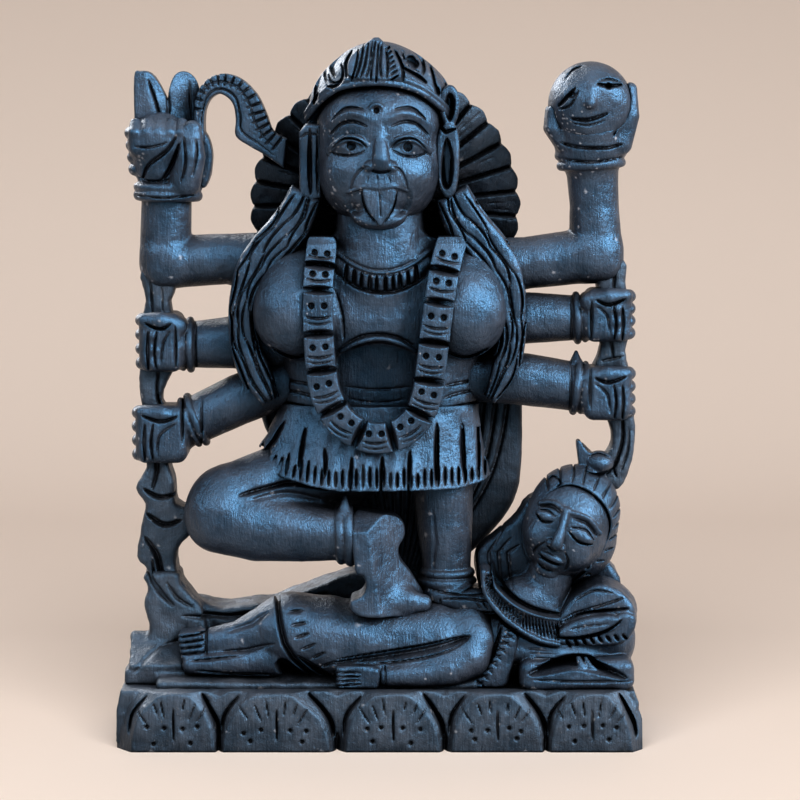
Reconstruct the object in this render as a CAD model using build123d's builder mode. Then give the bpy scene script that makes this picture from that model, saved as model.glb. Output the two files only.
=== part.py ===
from build123d import *
import os

# A carved wooden figurine: a many-armed standing deity with one leg drawn up,
# standing on a reclining figure, on a lotus plinth. Millimetres.
# +Z is up, the front faces -Y, and the origin is the middle of the flat base.
# Left and right are as a person facing the front sees them.

WIDTH = 104.0
DEPTH = 37.0
HEIGHT = 140.0

PLINTH_HEIGHT = 12.0
PETAL_RELIEF = 2.0
PETAL_STRIP = 3.0
PETALS = ((-40.4, 16.8), (-20.0, 21.2), (3.0, 18.8), (23.6, 18.2), (42.3, 16.4))

BANK_FRONT = 1.0
BANK_BACK = 13.0

HEAD_X = 0.2
HEAD_LEVEL = 117.0
BROW_RADIUS = 13.2
BAND_WIDTH = 2.2

HALO_X = 1.5
HALO_LEVEL = 106.9
HALO_RADIUS = 27.7

GARLAND_FRONT = -15.5

LYING_HEAD = (38.6, -6.5, 42.3)
LYING_HEAD_LEAN = 20.0

os.makedirs("parts", exist_ok=True)


def egg(half_width, half_depth, half_height):
    """An egg-shaped solid about the origin."""
    with BuildPart() as solid:
        Sphere(1)
        scale(by=(half_width, half_depth, half_height))
    return solid.part


def cut_face(back, *points):
    """A closed straight-sided outline that faces the front, standing at a given depth."""
    with BuildSketch(Plane.XZ.offset(-back)) as face:
        with BuildLine():
            Polyline(*points, close=True)
        make_face()
    return face.sketch


def oval(level, half_width, half_depth, centre=(0.0, 0.0)):
    """A level oval section of an upright body."""
    with BuildSketch(Plane.XY.offset(level)) as face:
        with Locations(centre):
            Ellipse(half_width, half_depth)
    return face.sketch


def rib(station, centre, half_depth, half_height):
    """An upright oval section of a body that lies along X; centre is its depth and level."""
    with BuildSketch(Plane.YZ.offset(station)) as face:
        with Locations(centre):
            Ellipse(half_depth, half_height)
    return face.sketch


def limb(start, end, start_radius, end_radius):
    """A round tapering limb with a rounded joint at both ends."""
    along = Vector(*end) - Vector(*start)
    with Locations(Plane(origin=start, z_dir=along)):
        Cone(start_radius, end_radius, along.length, align=(Align.CENTER, Align.CENTER, Align.MIN))
    with Locations(start):
        Sphere(start_radius)
    with Locations(end):
        Sphere(end_radius)


def ring(centre, direction, radius, width):
    """A bracelet or anklet: a short round band about a limb, centred on it."""
    with Locations(Plane(origin=centre, z_dir=direction)):
        Cylinder(radius, width)


def trim(*neighbours):
    """Takes finished neighbours out of the piece in hand, so that they meet face to face."""
    for neighbour in neighbours:
        add(neighbour.part, mode=Mode.SUBTRACT)


def keep_largest(piece):
    """Drops the loose slivers that trimming leaves behind."""
    main = piece.part.solids().sort_by(SortBy.VOLUME)[-1]
    add(main, mode=Mode.REPLACE)


# Plinth and ground

with BuildPart() as plinth:
    with BuildSketch(Plane.XY):
        with Locations((0, PETAL_RELIEF / 2)):
            RectangleRounded(WIDTH, DEPTH - PETAL_RELIEF, 2.5)
    extrude(amount=PLINTH_HEIGHT)
    chamfer(plinth.faces().sort_by(Axis.Z)[-1].edges(), 0.6)

with BuildPart() as lotus_petals:
    with BuildSketch(Plane.XZ.offset(DEPTH / 2 - PETAL_RELIEF)):
        with Locations((0, PETAL_STRIP / 2)):
            Rectangle(WIDTH - 8, PETAL_STRIP)
        for petal_x, petal_width in PETALS:
            with Locations((petal_x, 3.6)):
                Rectangle(petal_width, 7.2)
            with Locations((petal_x, 7.0)):
                Ellipse(petal_width / 2, PLINTH_HEIGHT - 7.2)
    extrude(amount=PETAL_RELIEF)

with BuildPart() as ground_bank:
    extrude(
        cut_face(
            BANK_BACK,
            (-51.4, 12.0),
            (-50.4, 15.0),
            (-46.5, 18.4),
            (-42.5, 21.0),
            (-38.6, 26.8),
            (-30.6, 25.7),
            (-20.0, 26.8),
            (-12.0, 30.0),
            (-4.0, 32.0),
            (8.0, 31.0),
            (28.0, 28.0),
            (40.0, 29.8),
            (46.5, 30.8),
            (50.6, 29.0),
            (52.0, 23.0),
            (52.0, 12.0),
        ),
        amount=BANK_BACK - BANK_FRONT,
    )
    trim(plinth)

# Reclining figure

with BuildPart() as lying_arm:
    limb((24.0, -10.0, 24.0), (25.0, -11.4, 17.6), 3.8, 3.6)
    limb((25.0, -11.4, 17.6), (20.0, -12.3, 14.4), 3.6, 3.2)
    limb((20.0, -12.3, 14.4), (0.0, -12.8, 14.6), 3.2, 2.4)
    with Locations((-4.2, -12.8, 14.3)):
        add(egg(4.6, 2.4, 2.8))
    trim(plinth)

with BuildPart() as lying_kilt:
    loft(
        [
            rib(-24.0, (-5.5, 20.0), 7.4, 8.8),
            rib(-5.0, (-5.5, 20.0), 8.0, 9.0),
            rib(12.0, (-5.5, 19.4), 7.6, 8.4),
            rib(25.0, (-5.0, 18.4), 6.6, 6.8),
        ]
    )
    extrude(
        cut_face(5.0, (-40.0, 34.0), (-21.0, 31.4), (-10.2, 11.0), (-40.0, 11.0)),
        amount=22,
        mode=Mode.SUBTRACT,
    )
    trim(plinth, ground_bank, lying_arm)
    keep_largest(lying_kilt)

with BuildPart() as lying_legs:
    loft(
        [
            rib(-35.0, (-5.0, 18.6), 4.2, 3.8),
            rib(-27.0, (-5.5, 19.6), 5.6, 5.8),
            rib(-9.0, (-5.5, 19.6), 6.6, 7.8),
        ]
    )
    with Locations((-37.0, -6.0, 19.2)):
        add(egg(4.2, 4.2, 3.6))
    limb((-36.6, -9.6, 14.6), (-20.0, -8.6, 14.4), 2.6, 3.0)
    trim(plinth, ground_bank, lying_kilt, lying_arm)
    keep_largest(lying_legs)

with BuildPart() as lying_collar:
    extrude(
        cut_face(
            -8.0,
            (21.6, 31.4),
            (24.2, 23.4),
            (31.4, 18.4),
            (36.0, 16.8),
            (45.4, 22.6),
            (50.4, 28.4),
            (48.4, 30.6),
            (43.4, 25.8),
            (35.8, 20.4),
            (32.6, 21.2),
            (27.0, 25.6),
            (24.8, 31.8),
        ),
        amount=5.5,
    )
    trim(lying_arm)
    keep_largest(lying_collar)

with BuildPart() as lying_head:
    with Locations(LYING_HEAD):
        add(egg(9.2, 8.2, 12.2), rotation=(0, LYING_HEAD_LEAN, 0))
    trim(lying_collar)

with BuildPart() as lying_hair:
    with Locations(LYING_HEAD):
        add(egg(10.2, 9.2, 13.2), rotation=(0, LYING_HEAD_LEAN, 0))
    split(bisect_by=Plane(origin=(40.6, -6.5, 48.0), z_dir=(0.36, 0.0, 0.93)), keep=Keep.TOP)
    with Locations((44.4, -3.6, 55.2)):
        Sphere(4.4)
    limb((42.4, -3.6, 57.4), (41.6, -3.6, 60.0), 1.5, 0.7)
    trim(lying_head)

with BuildPart() as lying_sleeve:
    limb((48.4, -6.6, 27.0), (48.0, -9.4, 21.6), 3.2, 3.8)
    limb((48.0, -9.4, 21.6), (38.6, -10.6, 20.6), 3.8, 2.8)
    trim(plinth, ground_bank, lying_collar)
    keep_largest(lying_sleeve)

with BuildPart() as bolster:
    with BuildSketch(Plane.YZ.offset(26.4)):
        with Locations((-9.0, 15.6)):
            RectangleRounded(13.0, 8.0, 3.0)
    extrude(amount=25.4)
    trim(plinth, lying_arm, lying_collar, lying_sleeve, lying_kilt)
    keep_largest(bolster)

with BuildPart() as lying_shoulders:
    extrude(
        cut_face(
            2.0,
            (20.5, 12.0),
            (20.5, 24.0),
            (23.0, 30.0),
            (30.0, 32.0),
            (38.0, 32.0),
            (49.0, 28.5),
            (50.5, 24.0),
            (50.5, 12.0),
        ),
        amount=12.0,
    )
    trim(plinth, ground_bank, lying_arm, lying_kilt, lying_collar, lying_head)
    trim(lying_sleeve, bolster)
    keep_largest(lying_shoulders)

with BuildPart() as lying_cowl:
    extrude(
        cut_face(
            3.0,
            (29.6, 47.6),
            (24.0, 42.0),
            (21.2, 36.6),
            (20.3, 30.6),
            (24.0, 26.0),
            (46.0, 26.0),
            (49.4, 32.0),
            (49.8, 42.0),
            (47.0, 50.0),
            (38.0, 53.0),
        ),
        amount=8.0,
    )
    trim(ground_bank, lying_head, lying_hair, lying_shoulders, lying_collar, lying_sleeve)
    trim(lying_arm, lying_kilt)
    keep_largest(lying_cowl)

# Skirt and legs of the standing figure

with BuildPart() as skirt:
    loft([oval(51.4, 25.4, 12.6, (-2.8, -1.8)), oval(66.0, 20.4, 10.2, (0.4, -1.5))])
    extrude(
        cut_face(20.0, (-34.0, 58.8), (-28.4, 57.2), (-15.0, 53.2), (2.0, 51.4), (2.0, 50.0), (-34.0, 50.0)),
        amount=40,
        mode=Mode.SUBTRACT,
    )

with BuildPart() as standing_leg:
    limb((13.8, -2.0, 31.0), (13.2, -2.0, 54.0), 4.8, 6.0)
    ring((14.2, -2.6, 32.4), (0, 0, 1), 5.8, 3.2)
    trim(skirt, ground_bank, lying_kilt)
    keep_largest(standing_leg)

with BuildPart() as standing_foot:
    limb((11.0, -5.0, 29.2), (22.4, -9.4, 28.8), 4.2, 3.0)
    trim(lying_kilt, standing_leg, ground_bank)
    trim(lying_shoulders, lying_cowl, lying_collar, lying_arm)
    keep_largest(standing_foot)

with BuildPart() as bent_anklet:
    ring((-6.6, -9.0, 42.2), (1, 0, 0), 6.2, 3.0)
    limb((-6.6, -10.0, 47.0), (-6.6, -10.0, 49.4), 1.4, 0.8)

with BuildPart() as bent_foot:
    extrude(
        cut_face(
            -5.0,
            (-5.1, 46.2),
            (3.6, 45.0),
            (4.6, 41.0),
            (3.2, 38.6),
            (5.8, 36.0),
            (9.6, 31.6),
            (12.0, 28.6),
            (7.0, 27.0),
            (-1.0, 26.6),
            (-5.6, 28.6),
            (-3.8, 31.0),
            (-2.4, 33.2),
            (-3.2, 35.6),
            (-5.1, 37.0),
        ),
        amount=9.6,
    )
    trim(bent_anklet, lying_kilt, standing_foot, standing_leg)
    keep_largest(bent_foot)

with BuildPart() as bent_shin:
    limb((-31.0, -7.0, 44.6), (-8.0, -9.0, 42.2), 6.9, 5.0)
    trim(bent_anklet, bent_foot)
    keep_largest(bent_shin)

with BuildPart() as bent_thigh:
    limb((-5.0, -1.0, 56.5), (-30.4, -6.0, 48.8), 8.4, 6.6)
    trim(skirt, bent_shin, bent_anklet, bent_foot, standing_leg)
    keep_largest(bent_thigh)

# Trunk, neck and head

with BuildPart() as head:
    with Locations((HEAD_X, -4.0, HEAD_LEVEL)):
        add(egg(12.7, 10.2, 13.7))

with BuildPart() as torso:
    loft(
        [
            oval(66.0, 19.8, 9.0, (0.4, -1.5)),
            oval(74.0, 19.8, 8.8, (0.5, -1.5)),
            oval(85.0, 24.0, 9.6, (0.8, -1.2)),
            oval(94.0, 25.0, 8.8, (0.6, -1.0)),
            oval(100.0, 17.0, 7.0, (0.5, -1.5)),
        ]
    )
    with Locations((-17.2, -7.0, 86.6), (18.2, -7.0, 86.6)):
        add(egg(9.0, 7.6, 9.0))
    loft([oval(97.0, 9.8, 7.6, (0.5, -2.8)), oval(107.0, 8.4, 7.0, (0.4, -2.8))])
    trim(head)

with BuildPart() as choker:
    with BuildSketch(Plane.XZ.offset(5.0)):
        with BuildLine():
            ThreePointArc((-9.0, 98.0), (1.0, 90.6), (11.0, 98.0))
            Line((11.0, 98.0), (8.6, 98.8))
            ThreePointArc((8.6, 98.8), (1.0, 95.0), (-6.6, 98.8))
            Line((-6.6, 98.8), (-9.0, 98.0))
        make_face()
    extrude(amount=7.6)
    trim(torso, head)
    keep_largest(choker)


def garland_run(*corners):
    """One run of the flat garland band, given by its corners as seen from the front."""
    with BuildPart() as run:
        extrude(cut_face(-6.0, *corners), amount=-6.0 - GARLAND_FRONT)
        trim(torso, skirt, choker, head)
        keep_largest(run)
    return run


garland_upper_left = garland_run(
    (-13.6, 100.0),
    (-14.3, 91.5),
    (-14.3, 84.0),
    (-13.2, 73.0),
    (-7.4, 73.0),
    (-8.7, 84.0),
    (-8.7, 91.5),
    (-8.0, 100.0),
)
garland_lower_left = garland_run(
    (-13.2, 73.0),
    (-11.0, 65.0),
    (-6.0, 60.2),
    (0.4, 59.4),
    (0.4, 65.0),
    (-3.6, 65.8),
    (-6.2, 68.6),
    (-7.4, 73.0),
)
garland_lower_right = garland_run(
    (0.4, 59.4),
    (7.2, 60.4),
    (11.4, 65.0),
    (13.0, 73.0),
    (7.2, 73.0),
    (6.2, 68.6),
    (4.2, 65.8),
    (0.4, 65.0),
)
garland_upper_right = garland_run(
    (13.0, 73.0), (14.4, 87.4), (17.0, 100.0), (11.4, 100.0), (8.8, 87.4), (7.2, 73.0)
)

with BuildPart() as crown_band:
    with BuildSketch(Plane.XZ.offset(2.0)):
        with Locations((HEAD_X, HEAD_LEVEL + 0.4)):
            Circle(BROW_RADIUS + BAND_WIDTH)
            Circle(BROW_RADIUS, mode=Mode.SUBTRACT)
        with Locations((HEAD_X, HEAD_LEVEL - 20.0 + 3.0)):
            Rectangle(40.0, 40.0, mode=Mode.SUBTRACT)
    extrude(amount=12.6)
    trim(head)
    keep_largest(crown_band)

with BuildPart() as crown_cap:
    with Locations((HEAD_X, -2.0, 120.6)):
        add(egg(14.4, 12.2, HEIGHT - 120.6))
    split(bisect_by=Plane.XY.offset(HEAD_LEVEL + 1.0), keep=Keep.TOP)
    with Locations(Plane(origin=(HEAD_X, -12.0, HEAD_LEVEL + 0.4), z_dir=(0, -1, 0))):
        Cylinder(BROW_RADIUS, 20.0, mode=Mode.SUBTRACT)
    trim(head, crown_band)
    keep_largest(crown_cap)

with BuildPart() as crown_crest:
    extrude(
        cut_face(
            -5.0,
            (-4.0, 129.0),
            (-4.6, 134.0),
            (-2.4, 138.6),
            (0.2, 139.6),
            (2.8, 138.6),
            (5.0, 134.0),
            (4.4, 129.0),
        ),
        amount=10.6,
    )
    trim(head, crown_band, crown_cap)
    keep_largest(crown_crest)

with BuildPart() as ear_left:
    with BuildSketch(Plane.XZ.offset(-3.0)):
        with Locations((-13.2, 115.8)):
            RectangleRounded(4.2, 14.0, 1.8)
    extrude(amount=7.6)
    trim(head, crown_band, crown_cap)
    keep_largest(ear_left)

with BuildPart() as ear_right:
    with BuildSketch(Plane.XZ.offset(-3.0)):
        with Locations((13.8, 116.6)):
            RectangleRounded(4.4, 15.0, 1.8)
    extrude(amount=7.6)
    trim(head, crown_band, crown_cap)
    keep_largest(ear_right)

with BuildPart() as halo:
    with BuildSketch(Plane.XZ.offset(-12.5)):
        with Locations((HALO_X, HALO_LEVEL)):
            Circle(HALO_RADIUS)
        with Locations((HALO_X, HALO_LEVEL - HALO_RADIUS - 12.0)):
            Rectangle(60.0, 40.0, mode=Mode.SUBTRACT)
    extrude(amount=6.5)
    trim(head, crown_cap, torso)
    keep_largest(halo)

# Hair

with BuildPart() as hair_left:
    extrude(
        cut_face(
            6.5,
            (-12.0, 109.0),
            (-14.4, 112.0),
            (-17.6, 109.6),
            (-22.4, 101.6),
            (-27.4, 91.6),
            (-28.6, 81.0),
            (-26.0, 72.6),
            (-20.6, 68.2),
            (-18.6, 72.0),
            (-21.4, 79.0),
            (-22.4, 87.0),
            (-20.0, 94.0),
            (-14.6, 99.0),
            (-12.0, 104.0),
        ),
        amount=15.5,
    )
    trim(torso, head, halo, ear_left, garland_upper_left, skirt)
    keep_largest(hair_left)

with BuildPart() as hair_right:
    extrude(
        cut_face(
            6.5,
            (12.4, 110.0),
            (14.6, 113.0),
            (17.8, 110.4),
            (22.4, 103.4),
            (27.0, 94.6),
            (28.6, 84.6),
            (26.6, 75.6),
            (22.4, 68.2),
            (19.8, 70.6),
            (22.6, 78.0),
            (23.2, 86.0),
            (20.6, 94.0),
            (15.0, 100.0),
            (12.6, 105.0),
        ),
        amount=15.5,
    )
    trim(torso, head, halo, ear_right, garland_upper_right, skirt)
    keep_largest(hair_right)

with BuildPart() as hair_back:
    extrude(
        cut_face(
            16.0,
            (-25.0, 99.0),
            (-26.0, 84.0),
            (-24.5, 66.0),
            (-19.0, 54.0),
            (-11.0, 43.0),
            (-5.0, 34.0),
            (-4.0, 30.0),
            (10.0, 30.0),
            (18.4, 35.4),
            (24.0, 41.0),
            (27.8, 46.6),
            (29.4, 53.0),
            (29.6, 66.0),
            (28.6, 84.0),
            (26.5, 99.0),
        ),
        amount=9.4,
    )
    trim(torso, skirt, halo, hair_left, hair_right, ground_bank, standing_leg, bent_thigh)
    keep_largest(hair_back)

# Upper pair of arms, with what they hold

with BuildPart() as bracelet_upper_left:
    ring((-41.9, 1.0, 110.0), (0, 0, 1), 7.3, 3.0)

with BuildPart() as arm_upper_left:
    limb((-22.0, 2.0, 95.6), (-41.8, 2.0, 95.4), 4.7, 4.5)
    limb((-41.8, 2.0, 95.4), (-41.8, 1.4, 109.5), 4.5, 4.1)
    trim(torso, hair_left, hair_back, halo, bracelet_upper_left)
    keep_largest(arm_upper_left)

with BuildPart() as hand_upper_left:
    with Locations((-42.8, 0.4, 117.8)):
        Box(14.8, 13.4, 13.0)
    fillet(hand_upper_left.edges(), 4.0)
    trim(bracelet_upper_left)

with BuildPart() as held_bud:
    extrude(
        cut_face(
            5.0,
            (-48.3, 122.0),
            (-48.3, 133.6),
            (-45.4, 133.6),
            (-44.2, 128.6),
            (-42.4, 133.0),
            (-40.0, 133.8),
            (-37.8, 131.0),
            (-37.6, 122.0),
        ),
        amount=5.4,
    )
    trim(hand_upper_left)
    keep_largest(held_bud)

with BuildPart() as blade:
    extrude(
        cut_face(
            7.0,
            (-37.9, 121.0),
            (-37.2, 128.6),
            (-34.6, 132.0),
            (-31.2, 133.2),
            (-27.8, 131.6),
            (-25.2, 127.4),
            (-23.8, 122.4),
            (-21.6, 117.4),
            (-25.6, 118.4),
            (-28.0, 121.2),
            (-27.8, 124.6),
            (-29.2, 128.2),
            (-31.3, 129.2),
            (-33.4, 128.0),
            (-34.7, 124.8),
            (-34.9, 119.0),
        ),
        amount=6.0,
    )
    trim(hand_upper_left, held_bud, halo)
    keep_largest(blade)

with BuildPart() as bracelet_upper_right:
    ring((42.7, 1.0, 116.6), (0, 0, 1), 7.2, 4.0)

with BuildPart() as arm_upper_right:
    limb((22.0, 2.0, 96.4), (43.6, 2.0, 97.0), 4.8, 5.3)
    limb((43.6, 2.0, 97.0), (43.2, 1.4, 115.8), 5.3, 5.0)
    trim(torso, hair_right, hair_back, halo, bracelet_upper_right)
    keep_largest(arm_upper_right)

with BuildPart() as held_head:
    with Locations((42.3, -1.4, 127.2)):
        add(egg(8.5, 8.2, 8.5))
    trim(bracelet_upper_right)

with BuildPart() as hand_upper_right:
    with Locations((42.5, 0.4, 118.6)):
        Cone(6.4, 8.8, 5.4, align=(Align.CENTER, Align.CENTER, Align.MIN))
    limb((49.4, -3.0, 121.0), (50.3, -3.0, 131.2), 2.0, 1.5)
    trim(bracelet_upper_right, held_head)
    keep_largest(hand_upper_right)

# Four lower arms


def fist(centre, width, depth, height, wrist, wrist_radius):
    """A closed hand with its wrist bracelet; wrist is the bracelet's centre."""
    with BuildPart() as hand:
        with Locations(centre):
            Box(width, depth, height)
        fillet(hand.edges(), 3.4)
        along = Vector(*centre) - Vector(*wrist)
        ring(wrist, (along.X, 0.0, along.Z), wrist_radius, 2.4)
    return hand


hand_middle_left = fist((-43.6, 0.2, 80.0), 8.2, 11.6, 11.8, (-38.6, 1.0, 79.4), 5.3)
hand_lower_left = fist((-43.8, -0.4, 61.6), 10.6, 11.2, 11.6, (-37.8, 0.0, 63.6), 5.4)
hand_middle_right = fist((46.4, 0.2, 85.4), 9.6, 10.8, 10.6, (40.8, 1.0, 84.6), 5.0)
hand_lower_right = fist((46.4, -0.4, 69.8), 9.6, 11.0, 10.8, (40.8, 0.0, 70.6), 5.4)

with BuildPart() as arm_middle_left:
    limb((-21.0, 1.0, 79.6), (-38.0, 1.0, 79.2), 4.4, 4.6)
    trim(hand_middle_left, torso, hair_left, hair_back)
    keep_largest(arm_middle_left)

with BuildPart() as arm_lower_left:
    limb((-19.0, 0.0, 71.2), (-37.0, 0.0, 63.8), 4.4, 4.7)
    trim(hand_lower_left, torso, hair_left, hair_back, skirt, arm_middle_left)
    keep_largest(arm_lower_left)

with BuildPart() as arm_middle_right:
    limb((21.0, 1.0, 84.6), (40.0, 1.0, 84.4), 4.6, 4.3)
    trim(hand_middle_right, torso, hair_right, hair_back)
    keep_largest(arm_middle_right)

with BuildPart() as arm_lower_right:
    limb((20.0, 0.0, 73.6), (40.0, 0.0, 70.8), 4.5, 4.8)
    trim(hand_lower_right, torso, hair_right, hair_back, arm_middle_right, skirt)
    keep_largest(arm_lower_right)

# Posts that tie the hands to each other and to the ground

with BuildPart() as post_upper_left:
    stem = cut_face(
        5.5, (-47.0, 94.0), (-46.0, 88.0), (-47.0, 82.0), (-41.4, 82.0), (-42.2, 88.0), (-40.6, 94.0)
    )
    extrude(stem, amount=7.0)
    trim(arm_upper_left, hand_middle_left)
    keep_largest(post_upper_left)

with BuildPart() as post_middle_left:
    extrude(cut_face(5.0, (-47.2, 77.0), (-46.8, 64.0), (-42.2, 64.0), (-42.0, 77.0)), amount=6.5)
    trim(hand_middle_left, hand_lower_left)
    keep_largest(post_middle_left)

with BuildPart() as post_lower_left:
    extrude(
        cut_face(
            7.0,
            (-46.4, 60.0),
            (-46.4, 54.0),
            (-48.4, 50.4),
            (-46.8, 47.4),
            (-47.2, 44.0),
            (-49.6, 34.6),
            (-47.2, 30.6),
            (-48.6, 23.4),
            (-47.4, 16.0),
            (-39.0, 16.0),
            (-38.6, 27.6),
            (-41.0, 32.6),
            (-41.2, 38.6),
            (-37.0, 42.4),
            (-37.0, 45.8),
            (-41.0, 47.0),
            (-41.2, 51.0),
            (-42.6, 56.0),
            (-42.6, 60.0),
        ),
        amount=9.0,
    )
    trim(hand_lower_left, ground_bank, bent_shin, bent_thigh, lying_legs)
    keep_largest(post_lower_left)

with BuildPart() as post_upper_right:
    extrude(cut_face(5.5, (43.0, 96.0), (44.6, 87.0), (49.4, 87.0), (49.4, 96.0)), amount=7.0)
    trim(arm_upper_right, hand_middle_right)
    keep_largest(post_upper_right)

with BuildPart() as post_middle_right:
    extrude(cut_face(5.0, (44.0, 83.0), (44.6, 72.0), (49.8, 72.0), (49.8, 83.0)), amount=6.5)
    trim(hand_middle_right, hand_lower_right)
    keep_largest(post_middle_right)

with BuildPart() as post_lower_right:
    extrude(
        cut_face(
            4.5,
            (45.6, 68.0),
            (46.8, 60.0),
            (45.2, 56.0),
            (44.0, 51.0),
            (48.6, 50.0),
            (51.0, 55.0),
            (51.6, 60.0),
            (50.8, 68.0),
        ),
        amount=7.0,
    )
    trim(hand_lower_right, lying_hair, lying_cowl, lying_head)
    keep_largest(post_lower_right)

PIECES = {
    "plinth": plinth,
    "lotus_petals": lotus_petals,
    "ground_bank": ground_bank,
    "lying_arm": lying_arm,
    "lying_kilt": lying_kilt,
    "lying_legs": lying_legs,
    "lying_collar": lying_collar,
    "lying_head": lying_head,
    "lying_hair": lying_hair,
    "lying_sleeve": lying_sleeve,
    "bolster": bolster,
    "lying_shoulders": lying_shoulders,
    "lying_cowl": lying_cowl,
    "skirt": skirt,
    "standing_leg": standing_leg,
    "standing_foot": standing_foot,
    "bent_anklet": bent_anklet,
    "bent_foot": bent_foot,
    "bent_shin": bent_shin,
    "bent_thigh": bent_thigh,
    "torso": torso,
    "head": head,
    "choker": choker,
    "garland_upper_left": garland_upper_left,
    "garland_lower_left": garland_lower_left,
    "garland_lower_right": garland_lower_right,
    "garland_upper_right": garland_upper_right,
    "crown_band": crown_band,
    "crown_cap": crown_cap,
    "crown_crest": crown_crest,
    "ear_left": ear_left,
    "ear_right": ear_right,
    "halo": halo,
    "hair_left": hair_left,
    "hair_right": hair_right,
    "hair_back": hair_back,
    "bracelet_upper_left": bracelet_upper_left,
    "arm_upper_left": arm_upper_left,
    "hand_upper_left": hand_upper_left,
    "held_bud": held_bud,
    "blade": blade,
    "bracelet_upper_right": bracelet_upper_right,
    "arm_upper_right": arm_upper_right,
    "held_head": held_head,
    "hand_upper_right": hand_upper_right,
    "arm_middle_left": arm_middle_left,
    "hand_middle_left": hand_middle_left,
    "arm_lower_left": arm_lower_left,
    "hand_lower_left": hand_lower_left,
    "arm_middle_right": arm_middle_right,
    "hand_middle_right": hand_middle_right,
    "arm_lower_right": arm_lower_right,
    "hand_lower_right": hand_lower_right,
    "post_upper_left": post_upper_left,
    "post_middle_left": post_middle_left,
    "post_lower_left": post_lower_left,
    "post_upper_right": post_upper_right,
    "post_middle_right": post_middle_right,
    "post_lower_right": post_lower_right,
}

for name, piece in PIECES.items():
    piece.part.label = name
    export_step(piece.part, f"parts/{name}.step")
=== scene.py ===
import math

import bpy
import numpy as np
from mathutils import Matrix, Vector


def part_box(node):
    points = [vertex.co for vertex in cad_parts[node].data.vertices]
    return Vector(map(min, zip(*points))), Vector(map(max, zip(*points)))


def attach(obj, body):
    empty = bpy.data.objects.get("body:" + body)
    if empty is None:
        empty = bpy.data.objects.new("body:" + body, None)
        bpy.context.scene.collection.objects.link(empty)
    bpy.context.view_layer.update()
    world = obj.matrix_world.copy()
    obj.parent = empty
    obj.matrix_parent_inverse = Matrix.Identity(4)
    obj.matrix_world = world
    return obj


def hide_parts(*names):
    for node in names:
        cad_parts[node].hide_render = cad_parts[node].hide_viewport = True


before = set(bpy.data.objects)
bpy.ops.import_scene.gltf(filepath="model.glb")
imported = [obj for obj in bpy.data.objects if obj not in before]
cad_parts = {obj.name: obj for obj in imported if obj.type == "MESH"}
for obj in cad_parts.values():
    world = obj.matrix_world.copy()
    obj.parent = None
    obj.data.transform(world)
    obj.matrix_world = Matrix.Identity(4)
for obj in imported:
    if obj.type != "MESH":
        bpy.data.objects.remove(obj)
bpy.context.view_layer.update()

import openvdb

# Millimetres inside the sculpting tools, metres in the finished meshes. The front faces -Y.
MM = 0.001
FAR = 2.5
COARSER = 1.0
BITE = 1.3


def node_box(*nodes):
    """The box round some CAD nodes, in millimetres."""
    boxes = [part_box(node) for node in nodes]
    low = np.min([np.array(box[0]) for box in boxes], axis=0) / MM
    high = np.max([np.array(box[1]) for box in boxes], axis=0) / MM
    return low, high


def curve(points, closed=False, steps=6):
    """A smooth line through points, as a list of close-set points."""
    points = [np.array(p, float) for p in points]
    count = len(points)
    out = []
    runs = count if closed else count - 1
    for i in range(runs):
        p1, p2 = points[i], points[(i + 1) % count]
        p0 = points[i - 1] if closed or i else p1
        p3 = points[(i + 2) % count] if closed or i + 2 < count else p2
        for s in range(steps):
            t = s / steps
            out.append(
                0.5
                * (
                    2 * p1
                    + (p2 - p0) * t
                    + (2 * p0 - 5 * p1 + 4 * p2 - p3) * t * t
                    + (3 * p1 - p0 - 3 * p2 + p3) * t ** 3
                )
            )
    if not closed:
        out.append(points[-1])
    return out


def line_distance(line, u, v):
    """Distance to an open line, and how far along it the nearest point is, 0 to 1."""
    best = np.full(np.broadcast(u, v).shape, 1e6, np.float32)
    along = np.zeros_like(best)
    count = len(line) - 1
    for i in range(count):
        (au, av), (bu, bv) = line[i], line[i + 1]
        du, dv = bu - au, bv - av
        size = du * du + dv * dv + 1e-9
        t = np.clip(((u - au) * du + (v - av) * dv) / size, 0, 1)
        d = np.hypot(u - au - t * du, v - av - t * dv)
        near = d < best
        best = np.where(near, d, best)
        along = np.where(near, (i + t) / count, along)
    return best, along


def outline_distance(outline, u, v):
    """Signed distance to a closed outline, negative inside."""
    d, _ = line_distance(list(outline) + [outline[0]], u, v)
    inside = np.zeros(d.shape, bool)
    count = len(outline)
    for i in range(count):
        (au, av), (bu, bv) = outline[i], outline[(i + 1) % count]
        if av == bv:
            continue
        crosses = ((av > v) != (bv > v)) & (u < (bu - au) * (v - av) / (bv - av) + au)
        inside ^= crosses
    return np.where(inside, -d, d)


# ---------------------------------------------------------------- solid shapes


def turned(axis, degrees):
    """A rotation about an axis through a shape's own centre."""
    c, s = math.cos(math.radians(degrees)), math.sin(math.radians(degrees))
    rows = {
        "x": ((1, 0, 0), (0, c, -s), (0, s, c)),
        "y": ((c, 0, s), (0, 1, 0), (-s, 0, c)),
        "z": ((c, -s, 0), (s, c, 0), (0, 0, 1)),
    }
    return np.array(rows[axis])


def local(centre, turn, x, y, z):
    x, y, z = x - centre[0], y - centre[1], z - centre[2]
    if turn is None:
        return x, y, z
    inverse = turn.T
    return tuple(inverse[i][0] * x + inverse[i][1] * y + inverse[i][2] * z for i in range(3))


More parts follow.
